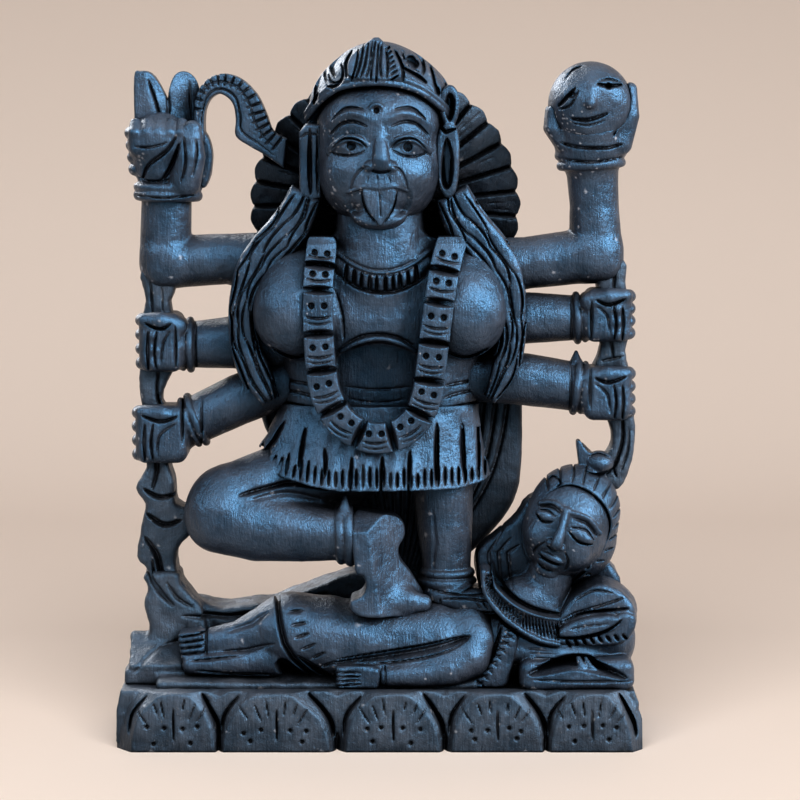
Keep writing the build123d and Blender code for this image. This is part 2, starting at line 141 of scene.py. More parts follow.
def ball(centre, radii, turn=None):
    radii = (radii,) * 3 if np.isscalar(radii) else radii
    reach = max(radii)
    rx, ry, rz = radii

    def distance(x, y, z):
        x, y, z = local(centre, turn, x, y, z)
        k0 = np.sqrt((x / rx) ** 2 + (y / ry) ** 2 + (z / rz) ** 2)
        k1 = np.sqrt((x / rx ** 2) ** 2 + (y / ry ** 2) ** 2 + (z / rz ** 2) ** 2) + 1e-6
        return k0 * (k0 - 1) / k1

    return np.array(centre) - reach, np.array(centre) + reach, distance


def block(centre, half, edge=0.4, turn=None):
    """A box with rounded edges."""
    reach = math.sqrt(sum(h * h for h in half))
    core = [max(h - edge, 0.01) for h in half]

    def distance(x, y, z):
        x, y, z = local(centre, turn, x, y, z)
        x, y, z = abs(x) - core[0], abs(y) - core[1], abs(z) - core[2]
        outside = np.sqrt(np.maximum(x, 0) ** 2 + np.maximum(y, 0) ** 2 + np.maximum(z, 0) ** 2)
        return outside + np.minimum(np.maximum(np.maximum(x, y), z), 0) - edge

    return np.array(centre) - reach, np.array(centre) + reach, distance


def tube(points, radii):
    """A round limb through points, with a radius at each."""
    points = [np.array(p, float) for p in points]
    if np.isscalar(radii):
        radii = [radii] * len(points)
    reach = max(radii)

    def distance(x, y, z):
        best = None
        for a, b, ra, rb in zip(points, points[1:], radii, radii[1:]):
            ab = b - a
            t = np.clip(
                ((x - a[0]) * ab[0] + (y - a[1]) * ab[1] + (z - a[2]) * ab[2]) / (ab @ ab + 1e-9), 0, 1
            )
            d = np.sqrt(
                (x - a[0] - t * ab[0]) ** 2 + (y - a[1] - t * ab[1]) ** 2 + (z - a[2] - t * ab[2]) ** 2
            ) - (ra + (rb - ra) * t)
            best = d if best is None else np.minimum(best, d)
        return best

    return np.min(points, axis=0) - reach, np.max(points, axis=0) + reach, distance


def hoop(centre, direction, radius, thickness, squash=1.0):
    """A ring; squash narrows its depth across Y."""
    direction = np.array(direction, float)
    direction /= np.linalg.norm(direction)
    reach = radius + thickness

    def distance(x, y, z):
        x, y, z = x - centre[0], (y - centre[1]) / squash, z - centre[2]
        h = x * direction[0] + y * direction[1] + z * direction[2]
        flat = np.sqrt(np.maximum(x * x + y * y + z * z - h * h, 0))
        return np.hypot(flat - radius, h) - thickness

    return np.array(centre) - reach, np.array(centre) + reach, distance


def plate(outline, front, back, edge=0.5, draft=0.0):
    """A slab with a front outline, between two depths; draft widens it towards the back."""
    outline = [tuple(p) for p in outline]
    us, vs = [p[0] for p in outline], [p[1] for p in outline]
    grow = draft * (back - front)
    low = np.array((min(us) - grow, front, min(vs) - grow))
    high = np.array((max(us) + grow, back, max(vs) + grow))

    def distance(x, y, z):
        flat = outline_distance(outline, x[:, 0, :], z[0, 0, :][None, :])[:, None, :]
        across = np.abs(y - (front + back) / 2) - (back - front) / 2
        flat = flat - draft * np.clip(y - front, 0, back - front) + edge
        across = across + edge
        outside = np.sqrt(np.maximum(flat, 0) ** 2 + np.maximum(across, 0) ** 2)
        return outside + np.minimum(np.maximum(flat, across), 0) - edge

    return low, high, distance


def half_space(point, normal):
    """Everything behind a plane."""
    normal = np.array(normal, float) / np.linalg.norm(normal)

    def distance(x, y, z):
        return (x - point[0]) * normal[0] + (y - point[1]) * normal[1] + (z - point[2]) * normal[2]

    return None, None, distance


# ---------------------------------------------------------------- the clay


class Clay:
    """A block of clay: a grid of signed distances in millimetres, and the tools that shape it."""

    def __init__(self, low, high, step):
        step *= COARSER
        self.step = step
        self.low = np.array(low, float) - 3 * step
        counts = np.ceil((np.array(high, float) - self.low) / step).astype(int) + 4
        self.axes = [(self.low[i] + step * np.arange(counts[i])).astype(np.float32) for i in range(3)]
        self.field = np.full(counts, FAR, np.float32)

    def window(self, low, high, margin):
        spans = []
        for i in range(3):
            count = len(self.axes[i])
            if low is None:
                spans.append(slice(0, count))
                continue
            first = int(np.clip(math.floor((low[i] - margin - self.low[i]) / self.step), 0, count))
            last = int(np.clip(math.ceil((high[i] + margin - self.low[i]) / self.step) + 1, 0, count))
            spans.append(slice(first, last))
        x = self.axes[0][spans[0]][:, None, None]
        y = self.axes[1][spans[1]][None, :, None]
        z = self.axes[2][spans[2]][None, None, :]
        return tuple(spans), x, y, z

    def add(self, shape, soft=0.4):
        span, x, y, z = self.window(shape[0], shape[1], FAR)
        if 0 in self.field[span].shape:
            return self
        a, b = self.field[span], shape[2](x, y, z)
        h = np.maximum(soft - np.abs(a - b), 0) / soft
        self.field[span] = np.minimum(np.minimum(a, b) - h * h * soft / 4, FAR)
        return self

    def cut(self, shape, soft=0.25):
        span, x, y, z = self.window(shape[0], shape[1], soft + 0.4)
        if 0 in self.field[span].shape:
            return self
        a, b = self.field[span], -shape[2](x, y, z)
        h = np.maximum(soft - np.abs(a - b), 0) / soft
        self.field[span] = np.maximum(a, b) + h * h * soft / 4
        return self

    def plane(self, view):
        """The two axes seen in a view, and the one that runs away from it."""
        return {"front": (0, 2, 1), "side": (1, 2, 0), "top": (0, 1, 2)}[view]

    def relief(self, height, view="front", low=-1e3, high=1e3):
        """Sinks the surface by a height map seen in a view, between two depths."""
        _, _, away = self.plane(view)
        depth = self.axes[away]
        fade = np.clip((depth - low) / 0.5, 0, 1) * np.clip((high - depth) / 0.5, 0, 1)
        shape = [1, 1, 1]
        shape[away] = len(depth)
        self.field += np.expand_dims(height, away) * fade.reshape(shape)
        return self

    def engrave(self, cuts, view="front", low=-1e3, high=1e3):
        """Gouge cuts along lines: each is (line, width, depth), deepest in its middle."""
        u_axis, v_axis, _ = self.plane(view)
        u, v = self.axes[u_axis], self.axes[v_axis]
        height = np.zeros((len(u), len(v)), np.float32)
        for line, width, depth in cuts:
            line = [(float(p[0]), float(p[1])) for p in line]
            us, vs = [p[0] for p in line], [p[1] for p in line]
            iu = np.flatnonzero((u > min(us) - width) & (u < max(us) + width))
            iv = np.flatnonzero((v > min(vs) - width) & (v < max(vs) + width))
            if not len(iu) or not len(iv):
                continue
            d, t = line_distance(line, u[iu][:, None], v[iv][None, :])
            swell = np.clip(4 * t * (1 - t), 0.02, 1) ** 0.45
            sink = BITE * depth * swell * np.clip(1 - d / (0.5 * width * swell), 0, 1)
            window = np.ix_(iu, iv)
            height[window] = np.maximum(height[window], sink)
        return self.relief(height, view, low, high)

    def dots(self, places, radius, depth, view="front", low=-1e3, high=1e3):
        """Drilled pits."""
        u_axis, v_axis, _ = self.plane(view)
        u, v = self.axes[u_axis][:, None], self.axes[v_axis][None, :]
        height = np.zeros((u.shape[0], v.shape[1]), np.float32)
        for pu, pv in places:
            d = np.hypot(u - pu, v - pv)
            height = np.maximum(height, depth * np.clip((radius - d) / 0.25 + 0.5, 0, 1))
        return self.relief(height, view, low, high)

    def roughen(self, amount, size, seed):
        """Uneven hand-cut surface: smooth noise of a given height and spacing."""
        rng = np.random.default_rng(seed)
        counts = [max(3, int(len(a) * self.step / size) + 3) for a in self.axes]
        noise = rng.uniform(-1, 1, counts)
        for i in range(3):
            count = counts[i]
            place = (self.axes[i] - self.axes[i][0]) / size
            first = np.clip(place.astype(int), 0, count - 2)
            t = np.clip(place - first, 0, 1)
            t = t * t * (3 - 2 * t)
            noise = np.moveaxis(noise, i, 0)
            shape = (-1,) + (1,) * (noise.ndim - 1)
            noise = noise[first] * (1 - t).reshape(shape) + noise[first + 1] * t.reshape(shape)
            noise = np.moveaxis(noise, 0, i)
        self.field += (amount * noise).astype(np.float32)
        return self

    def mesh(self, name, adaptivity=0.0):
        """Turns the clay into a Blender object."""
        self.field[0], self.field[-1] = FAR, FAR
        self.field[:, 0], self.field[:, -1] = FAR, FAR
        self.field[:, :, 0], self.field[:, :, -1] = FAR, FAR
        grid = openvdb.FloatGrid(background=FAR)
        grid.copyFromArray(np.ascontiguousarray(np.clip(self.field, -FAR, FAR)))
        points, tris, quads = grid.convertToPolygons(isovalue=0.0, adaptivity=adaptivity)
        points = (points * self.step + self.low) * MM
        return build_mesh(name, points, tris, quads)


def build_mesh(name, points, tris, quads):
    data = bpy.data.meshes.new(name)
    data.vertices.add(len(points))
    data.vertices.foreach_set("co", points.astype(np.float32).ravel())
    loops = np.concatenate([tris[:, ::-1].ravel(), quads[:, ::-1].ravel()]).astype(np.int32)
    sizes = np.concatenate([np.full(len(tris), 3), np.full(len(quads), 4)])
    starts = np.concatenate([[0], np.cumsum(sizes)[:-1]]).astype(np.int32)
    data.loops.add(len(loops))
    data.loops.foreach_set("vertex_index", loops)
    data.polygons.add(len(sizes))
    data.polygons.foreach_set("loop_start", starts)
    data.polygons.foreach_set("use_smooth", np.ones(len(sizes), bool))
    data.update(calc_edges=True)
    data.validate()
    piece = bpy.data.objects.new(name, data)
    bpy.context.scene.collection.objects.link(piece)
    return piece


def piece_of(clay, name, nodes, slot="ebony", adaptivity=0.0):
    """Finishes one carved element: mesh, body, the CAD nodes it stands for, and its slot."""
    piece = clay.mesh(name, adaptivity)
    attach(piece, "root")
    if nodes:
        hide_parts(*nodes)
    PIECES.append((piece, slot))
    return piece


PIECES = []


def fan(centre, radius, length, first, last, count, width, depth):
    """Straight cuts that spread from a centre, between two angles in degrees from upright."""
    cuts = []
    for i in range(count):
        a = math.radians(first + (last - first) * i / max(count - 1, 1))
        s, c = math.sin(a), math.cos(a)
        start = (centre[0] + radius * s, centre[1] + radius * c)
        end = (centre[0] + (radius + length) * s, centre[1] + (radius + length) * c)
        cuts.append(((start, end), width, depth))
    return cuts


# ---------------------------------------------------------------- plinth and ground

PETALS = ((-40.4, 16.8), (-20.0, 21.2), (3.0, 18.8), (23.6, 18.2), (42.3, 16.4))


def carve_base():
    low, high = node_box("plinth", "lotus_petals")
    front, top = low[1], high[2]
    clay = Clay(low, high, 0.24)
    half_x, half_y = high[0], high[1]
    core_front = front + 4.2
    clay.add(
        plate(
            [
                (-half_x + 0.5, 0.6), (-half_x, 1.4), (-half_x + 0.2, 8.0), (-half_x + 1.0, top - 0.4),
                (half_x - 1.0, top - 0.4), (half_x, 9.0), (half_x - 0.3, 6.6), (half_x, 3.0),
                (half_x - 0.6, 0),
            ],
            core_front,
            half_y,
            0.5,
        )
    )
    gaps = []
    for i in range(4):
        (xa, wa), (xb, wb) = PETALS[i], PETALS[i + 1]
        x = (xa + wa / 2 + xb - wb / 2) / 2
        rear = [(x - 5.6, 0.2), (x - 5.2, top - 0.5), (x - 3.4, top + 0.1), (x, top - 1.2),
                (x + 3.4, top + 0.1), (x + 5.2, top - 0.5), (x + 5.6, 0.2)]
        clay.add(plate(rear, front + 2.4, core_front + 1, 0.2, 0.5), 0.2)
    for i, (x, width) in enumerate(PETALS):
        w = width / 2
        lean = (0.5, -0.3, 0.2, -0.2, 0.4)[i]
        outline = curve(
            [(x - w + 0.3, 0.2), (x - w + 0.8, 4.0), (x - w * 0.76, 7.4), (x - w * 0.5 + lean, top - 1.7),
             (x - w * 0.3 + lean, top - 0.7), (x + w * 0.25 + lean, top - 0.5),
             (x + w * 0.46 + lean, top - 1.9), (x + w * 0.78, 6.9), (x + w - 0.7, 3.6), (x + w - 0.2, 0.2)],
            steps=3,
        )
        clay.add(plate(outline, front + 0.1, core_front + 0.8, 0.15, 0.72), 0.15)
        # the black wedge behind the right flank, a finer one behind the left
        flank = curve([(x + w * 0.62 + lean, top - 0.6), (x + w * 0.88, 8.0), (x + w + 0.3, 5.2),
                       (x + w + 0.7, 2.6)])
        gaps.append((flank, 1.3, 1.6))
        flank = curve([(x - w * 0.66 + lean, top - 1.0), (x - w * 0.96, 7.2), (x - w - 0.2, 3.2)])
        gaps.append((flank, 0.8, 1.1))
    clay.cut(block((0, 0, top + 1.6), (half_x + 2, half_y + 2, 1.7), 0.2), 0.3)
    for i in range(4):
        (xa, wa), (xb, wb) = PETALS[i], PETALS[i + 1]
        x = (xa + wa / 2 + xb - wb / 2) / 2
        gaps.append(([(x - 0.2, -0.6), (x, 3.6)], 1.0, 1.0))
    clay.engrave(gaps, high=core_front + 2)
    cuts, pits = [], []
    rng = np.random.default_rng(4)
    for x, width in PETALS:
        wide = width / 18
        cuts.append(([(x + 0.1, 8.8), (x + 0.2, 2.2)], 0.6, 0.9))
        for side, angles in ((-1, (8, 21, 35)), (1, (10, 23, 34))):
            for angle in angles:
                a = math.radians(side * (angle + rng.uniform(-3, 3)))
                top_end = 9.5 + rng.uniform(-0.4, 0.5)
                reach = top_end - rng.uniform(1.8, 3.8)
                foot = x + side * 0.6
                cuts.append((((foot + math.tan(a) * top_end, top_end + 1.4 - 0.05 * angle),
                              (foot + math.tan(a) * reach, reach + 1.4 - 0.05 * angle)), 0.46, 0.6))
        for side, count in ((-1, 3), (1, 3)):
            for k in range(count):
                du = (2.1, 5.2, 3.9)[k] + rng.uniform(-0.5, 0.5)
                dv = (4.7, 4.5, 2.2)[k] + rng.uniform(-0.7, 0.7)
                pits.append((x + side * du * wide, dv))
    clay.engrave(cuts, high=front + 2.4)
    clay.dots(pits, 0.36, 0.9, high=front + 2.4)
    clay.roughen(0.08, 2.3, 11).roughen(0.05, 0.9, 12)
    back_cuts = [([(x, 0.8), (x + 0.4, 5.4), (x, 10.6)], 0.8, 0.3) for x in np.linspace(-46, 46, 12)]
    clay.engrave(back_cuts, low=half_y - 1.6)
    return piece_of(clay, "lotus_base", ("plinth", "lotus_petals"), "ebony_ground", 0.004)


def carve_bank():
    low, high = node_box("ground_bank")
    clay = Clay((low[0], -13.4, low[2] - 1), (high[0], high[1], max(high[2], 35.0)), 0.32)
    left = curve(
        [(-51.2, 11.5), (-51.0, 12.4), (-49.6, 14.6), (-47.6, 16.8), (-45.4, 19.0), (-44.4, 22.6),
         (-40.4, 26.2), (-36.4, 26.6), (-32.0, 25.6), (-27.0, 26.0), (-21.0, 26.8), (-17.0, 28.4),
         (-12.0, 30.2), (-6.0, 32.4), (0.0, 32.4), (8.0, 31.2), (20.0, 29.0), (29.0, 28.0), (36.0, 29.0),
         (43.6, 31.4), (46.8, 32.4), (48.8, 30.2), (50.8, 25.4), (50.8, 20.6), (49.8, 16.4), (51.2, 12.8),
         (51.2, 11.5)],
        steps=3,
    )
    clay.add(plate(left, low[1], high[1], 1.2))
    # the sloping end of the ground beyond the feet
    clay.add(block((-44.4, -2.5, 15.4), (5.6, 5.4, 3.4), 0.8, turned("x", 32)), 0.6)
    clay.add(block((-44.2, -2.0, 13.0), (6.6, 6.4, 1.6), 0.8), 0.8)
    # and the ground that rises to meet the underside of the legs and the arm
    clay.add(block((-12.0, -6.0, 12.6), (32.0, 6.6, 1.5), 0.8, turned("x", 12)), 1.0)
    # the swelling that the left post grows out of
    root = curve([(-47.0, 33.0), (-46.4, 30.0), (-47.2, 27.2), (-46.8, 25.0), (-46.0, 21.0), (-46.8, 14.0),
                  (-36.0, 14.0), (-34.6, 21.0), (-35.6, 26.0), (-37.6, 28.6), (-39.6, 31.0), (-40.6, 33.6)],
                 closed=True, steps=3)
    clay.add(plate(root, -2.9, 7.0, 1.2), 1.2)
    clay.roughen(0.28, 3.4, 21).roughen(0.1, 1.3, 22)
    clay.engrave(
        [
            ([(-40, 24.6), (-30, 23.6), (-20, 24.8), (-10, 28.6)], 1.8, 1.0),
            (curve([(-46.0, 34.0), (-45.4, 31.6), (-43.2, 28.6), (-41.0, 26.4)]), 1.5, 1.2),
            (curve([(-42.6, 31.6), (-40.6, 28.4), (-37.0, 26.0)]), 0.9, 0.8),
            ([(-44, 18.5), (-36, 20.6), (-26, 21.0)], 1.3, 0.6),
            ([(-49, 13.5), (-46.5, 16.6), (-43.4, 19.0)], 1.2, 0.4),
        ],
        high=6,
    )
    clay.engrave([([(x, 13.5), (x + 1.2, 19), (x + 0.4, 25.5)], 1.6, 0.45) for x in np.linspace(-42, 44,
        15)], low=8)
    return piece_of(clay, "ground_bank_carved", ("ground_bank",), "ebony_ground", 0.004)


# ---------------------------------------------------------------- the reclining figure


def carve_lying_body():
    clay = Clay((-42.5, -16.6, 11.2), (29.5, 3.5, 31.0), 0.22)
    # legs and feet
    clay.add(tube([(-34.5, -6.4, 19.6), (-28, -6.6, 20.4), (-20, -6.2, 22.4), (-10, -5.6, 21.8)],
                  [3.0, 3.8, 6.2, 7.4]))
    clay.add(block((-37.2, -6.6, 19.8), (2.4, 3.4, 2.7), 0.8, turned("y", -8)), 0.8)
    clay.add(tube([(-37.2, -9.4, 15.7), (-30, -9.2, 16.2), (-21, -8.4, 17.0)], [1.8, 2.5, 3.8]), 0.9)
    # kilt over hips and thighs, chest and belly
    clay.add(
        tube([(-17.2, -5.6, 22.0), (-8, -5.8, 20.4), (4, -5.8, 20.2), (12, -5.6, 20.2), (16.4, -5.4, 20.0)],
             [8.0, 8.3, 8.0, 8.2, 7.6]),
        0.5,
    )
    hem = [(-20.6, 31.0), (-19.9, 28.4), (-19.4, 24.8), (-18.4, 20.8), (-16.6, 17.6), (-13.6, 14.6),
           (-11.4, 12.4)]
    clay.engrave([(hem, 1.7, 1.5)], high=1.5)
    # arm that lies along the front, and its hand
    clay.add(
        tube([(18.6, -7.0, 24.2), (19.2, -9.2, 20.8), (18.2, -10.8, 17.6), (14.6, -12.0, 15.6),
              (8.5, -12.7, 14.6), (2.0, -13.0, 14.2)], [4.4, 4.4, 4.2, 3.5, 2.7, 2.1]),
        1.5,
    )
    clay.add(block((-3.9, -13.2, 14.2), (4.3, 1.7, 2.3), 1.0, turned("y", 3)), 0.8)
    clay.add(tube([(-1.4, -13.6, 15.6), (-4.2, -14.0, 16.4), (-7.6, -13.8, 16.2)], [1.0, 0.8, 0.6]), 0.4)
    clay.cut(block((-6, 0, 9.0), (70, 40, 2.9), 0.2), 0.2)
    ticks = []
    for i, (x, z) in enumerate(((-17.8, 26.9), (-17.2, 24.4), (-16.5, 22.0), (-15.2, 19.6), (-13.2, 17.8),
                                (-11.2, 16.0))):
        rise = (0.3, 0.6, 1.0, 1.4, 1.5, 1.4)[i]
        ticks.append(([(x, z), (x + 3.1, z + rise)], 0.8, 0.7))
    clay.engrave(ticks, high=-1)
    # recess between body and arm, with its fringe line
    clay.engrave(
        [
            (curve([(-9, 16.8), (0.5, 18.0), (8, 19.2), (13.6, 20.6), (18.4, 22.2)]), 2.6, 1.7),
            (curve([(-8, 17.8), (0.5, 19.2), (8, 20.4), (13.6, 21.5), (18.4, 22.4)]), 0.7, 1.3),
            (curve([(-7, 16.6), (2, 17.0), (9, 18.0), (14.4, 19.6), (17.8, 21.6)]), 0.6, 0.7),
            ([(-16, 18.4), (-11, 14.6), (-8.6, 13.2)], 1.6, 1.4),
            (curve([(-36.4, 15.0), (-28.0, 14.2), (-21.0, 14.2)]), 1.0, 0.5),
            (curve([(-19.6, 17.4), (-18.4, 15.6), (-15.4, 13.4)]), 3.4, 2.6),
        ],
        high=-3,
    )
    # toes, fingers, wrist line
    fingers = [
        ([(-8.6, 15.2 - 0.9 * i), (-5.4, 15.4 - 0.85 * i), (-3.2, 15.2 - 0.75 * i)], 0.5, 0.7)
        for i in range(4)
    ]
    clay.engrave(fingers + [([(1.5, 16.6), (1.7, 12.0)], 0.6, 0.5), ([(0.5, 16.4), (0.7, 12.2)], 0.4, 0.3)],
                 high=-8)
    toes = [
        ([(-40.0, 17.9 + 1.15 * i), (-37.2, 18.2 + 1.2 * i), (-34.4, 18.5 + 1.25 * i)], 0.55, 0.9)
        for i in range(4)
    ]
    toes += [([(-34.2, 17.8), (-34.3, 23.4)], 0.7, 0.7),
             ([(-37.5, 16.8), (-33, 17.2), (-27, 18.0)], 0.7, 0.6)]
    clay.engrave(toes, high=-1)
    clay.engrave([([(-30, 22.4), (-25, 24.2), (-21.6, 26.8)], 1.4, 0.5),
                  ([(-31, 18.6), (-26, 19.0), (-20, 20.8)], 1.2, 0.5)], high=0)
    clay.roughen(0.09, 2.6, 31).roughen(0.035, 0.8, 32)
    return piece_of(clay, "lying_body", ("lying_legs", "lying_kilt", "lying_arm"), adaptivity=0.003)


def carve_lying_shoulders():
    clay = Clay((16.2, -16.8, 11.2), (52.4, 4.0, 50.5), 0.22)
    clay.add(tube([(24, -3.5, 20), (34, -4.0, 21), (45, -3.5, 20)], [7.6, 8.0, 7.0]))
    clay.add(ball((30.6, -5.6, 27.6), (7.6, 5.2, 6.0)), 1.2)
    clay.add(tube([(33.0, -5.0, 28.0), (35.4, -5.6, 36)], [5.0, 4.4]), 1.0)
    # cowl behind the head
    cowl = curve(
        [(30.6, 48.4), (28.2, 45.0), (24.4, 41.6), (20.6, 38.4), (19.8, 35.6), (20.4, 31.0), (22.0, 27.0),
         (28, 24), (40, 23), (47.4, 27), (49.0, 31), (47.6, 34.2), (45.6, 37.0), (45.6, 44.0), (43, 49),
         (36, 50)],
        closed=True,
        steps=3,
    )
    clay.add(plate(cowl, -3.4, 3.2, 1.2, 0.05), 0.8)
    # bolster
    clay.add(block((39.6, -8.6, 14.6), (11.4, 6.6, 3.3), 2.2, turned("y", -1)), 0.3)
    clay.add(tube([(28, -9.6, 18.4), (36, -10.6, 18.2), (45, -9.0, 17.6)], [2.2, 2.4, 1.6]), 0.5)
    # sleeve over the bent arm: an upper fold, a leaf under it and a drape at the end
    clay.add(tube([(44.6, -5.6, 30.6), (48.2, -7.0, 28.6), (49.0, -8.6, 24.8), (46.0, -10.2, 22.6)],
                  [2.4, 2.6, 2.7, 2.4]), 0.6)
    upper = curve([(36.2, 25.2), (38.8, 29.4), (43.4, 32.2), (47.4, 31.4), (50.6, 28.4), (50.8, 25.4),
                   (46.4, 26.4), (41.4, 25.8), (37.4, 24.4)], closed=True, steps=3)
    clay.add(plate(upper, -11.6, -4, 1.0, 0.15), 0.4)
    leaf = curve([(35.8, 22.6), (38.6, 25.0), (43.4, 26.2), (47.8, 26.0), (47.0, 23.6), (43.0, 22.4),
                  (38.6, 21.6)],
                 closed=True, steps=3)
    clay.add(plate(leaf, -13.4, -5, 0.9, 0.1), 0.2)
    drape = curve([(44.2, 22.6), (48.2, 26.6), (51.2, 26.0), (50.6, 22.6), (47.6, 20.4), (40.0, 20.4),
                   (35.8, 20.6), (36.0, 21.8)], closed=True, steps=3)
    clay.add(plate(drape, -12.6, -4.5, 0.9, 0.1), 0.2)
    # scarf end that hangs by the elbow
    scarf = curve([(16.8, 11.5), (19.8, 13.8), (22.6, 17.4), (23.8, 21.0), (24.6, 24.8), (27.6, 23.8),
                   (27.6, 19.0), (26.4, 15.0), (24.8, 11.5)], closed=True, steps=3)
    clay.add(plate(scarf, -12.4, -5, 0.8, 0.1), 0.3)
    # collar: a broad band of slanting teeth with a raised lip along its outer edge
    inner = curve([(22.6, 35.4), (23.2, 32.4), (24.6, 30.6), (27.0, 28.6), (30.0, 27.0), (33.2, 26.0),
                   (36.0, 25.6)], steps=5)
    outer = curve([(21.0, 35.2), (21.2, 31.6), (22.6, 29.0), (25.4, 25.8), (29.0, 23.2), (32.6, 21.4),
                   (36.0, 20.6)], steps=5)
    band = [tuple(p) for p in inner] + [tuple(p) for p in reversed(outer)]
    clay.add(plate(band, -12.6, -6.0, 0.5, 0.1), 0.2)
    clay.add(tube([(p[0], -12.8, p[1]) for p in outer], 0.55), 0.2)
    clay.add(tube([(p[0], -12.6, p[1]) for p in inner], 0.4), 0.2)
    clay.cut(block((36, 0, 9.0), (40, 40, 2.9), 0.2), 0.2)
    cuts = []
    count = len(inner)
    for i in range(1, count - 1):
        a, b = inner[i], outer[min(i + 2, count - 1)]
        cuts.append(([a * 0.9 + b * 0.1, a * 0.14 + b * 0.86], 0.62, 0.9))
        if i < count * 0.55:
            a, b = inner[min(i + 2, count - 1)], outer[i]
            cuts.append(([a * 0.85 + b * 0.15, a * 0.2 + b * 0.8], 0.5, 0.7))
    cuts.append(([p + (0.5, 0.6) for p in inner], 1.2, 1.3))
    cuts.append(([p - (0.7, 0.7) for p in outer], 0.9, 1.1))
    # ribs of the upper fold, creases between the folds, tassels along the drape
    for i in range(10):
        x, z = 37.0 + 1.05 * i, 25.4 + 0.36 * i
        cuts.append(([(x, z), (x + 2.7, z + 1.7 - 0.05 * i)], 0.5, 0.7))
    cuts.append((curve([(39.0, 29.0), (43.0, 31.2), (47.0, 30.6)]), 0.6, 0.6))
    cuts.append((curve([(36.8, 24.8), (41.0, 26.6), (46.0, 27.2), (50.2, 27.6)]), 0.9, 1.2))
    cuts.append((curve([(36.0, 22.0), (40.0, 22.0), (45.0, 23.2), (48.6, 25.6)]), 0.9, 1.2))
    cuts.append((curve([(38.0, 23.6), (42.0, 24.4), (46.0, 24.8)]), 0.5, 0.4))
    for i in range(8):
        x = 37.4 + 1.6 * i
        cuts.append(([(x, 21.6 + 0.16 * i), (x + 1.0, 19.9 + 0.22 * i)], 0.8, 1.2))
    # folds of the bolster and the curved tassel in its hollow
    cuts.append((curve([(30.0, 15.0), (34.0, 16.2), (39.0, 17.2), (44.0, 16.2), (49.4, 14.2)]), 3.0, 2.6))
    cuts.append((curve([(30.0, 14.0), (38, 13.6), (46, 13.6), (50.6, 13.6)]), 0.6, 0.6))
    for i in range(5):
        cuts.append(([(29.4 + 0.3 * i, 19.6 - 1.0 * i), (36, 19.4 - 0.8 * i)], 0.5, 0.3))
    # cross hatching of the scarf
    for i in range(9):
        x, z = 18.6 + 0.85 * i, 12.4 + 1.35 * i
        cuts.append(([(x, z), (x + 2.6, z + 0.5)], 0.5, 0.6))
        cuts.append(([(x + 0.6, z + 1.3), (x + 2.8, z - 0.6)], 0.45, 0.5))
    cuts.append((curve([(24.8, 24.4), (23.4, 19.4), (20.6, 15.0), (16.8, 12.6)]), 0.9, 1.2))
    clay.engrave(cuts, high=-3)
    clay.add(tube([(40.0, -12.6, 17.8), (40.6, -13.4, 16.2), (42.6, -13.6, 14.8)], [0.5, 0.9, 0.4]), 0.15)
    clay.add(tube([(41.4, -12.6, 17.8), (42.2, -13.4, 16.2), (44.4, -13.6, 14.9)], [0.4, 0.7, 0.3]), 0.15)
    # folds down the cowl
    folds = [([(25.4 + k, 42.4 - k), (22.4 + 1.2 * k, 37.5), (22.8 + 1.3 * k, 31)], 0.9, 0.5) for k in (0.0,
        1.6, 3.2)]
    clay.engrave(folds, high=1)
    clay.engrave([([(x, 14), (x + 0.5, 30), (x + 0.2, 44)], 1.6, 0.4) for x in (25, 29, 33, 37, 41, 45,
        48.5)], low=0.5)
    clay.roughen(0.09, 2.2, 41).roughen(0.035, 0.8, 42)
    return piece_of(
        clay, "lying_shoulders_carved",
        ("lying_shoulders", "lying_collar", "lying_cowl", "lying_sleeve", "bolster"), adaptivity=0.003,
    )


# ---------------------------------------------------------------- legs and skirt


def carve_bent_leg():
    clay = Clay((-38.6, -16.8, 34.0), (6.5, 9.5, 66.0), 0.24)
    # thigh and shin folded together, knee to the left
    shin = [(-31.0, -7.0, 45.6), (-24.0, -7.6, 43.6), (-15.0, -8.4, 42.6), (-6.0, -9.2, 42.0)]
    clay.add(tube(shin, [7.5, 7.0, 6.0, 4.9]))
    clay.add(tube([(-30.6, -5.6, 48.6), (-20.0, -3.2, 51.8), (-6.0, -1.0, 55.0)], [6.6, 7.4, 8.0]), 1.6)
    clay.add(ball((-31.2, -6.0, 47.2), (6.6, 7.4, 8.4), turned("y", 20)), 1.4)
    crease = [
        (curve([(-27.4, 50.3), (-22.0, 51.6), (-16.4, 52.6), (-9.0, 51.0)]), 1.5, 1.5),
        (curve([(-25.0, 49.4), (-18.0, 50.6), (-11.0, 49.0)]), 1.6, 0.5),
    ]
    clay.engrave(crease, high=0)
    # anklet with its point
    clay.add(hoop((-7.4, -9.2, 42.0), (1, 0, 0.05), 4.9, 0.95), 0.2)
    clay.add(hoop((-5.6, -9.2, 42.0), (1, 0, 0.05), 5.2, 1.05), 0.2)
    clay.add(tube([(-6.6, -11.6, 46.6), (-6.4, -11.0, 50.0)], [1.5, 0.4]), 0.4)
    clay.roughen(0.06, 4.0, 53).roughen(0.02, 0.9, 54)
    return piece_of(clay, "bent_leg_carved", ("bent_thigh", "bent_shin", "bent_anklet"), adaptivity=0.006)


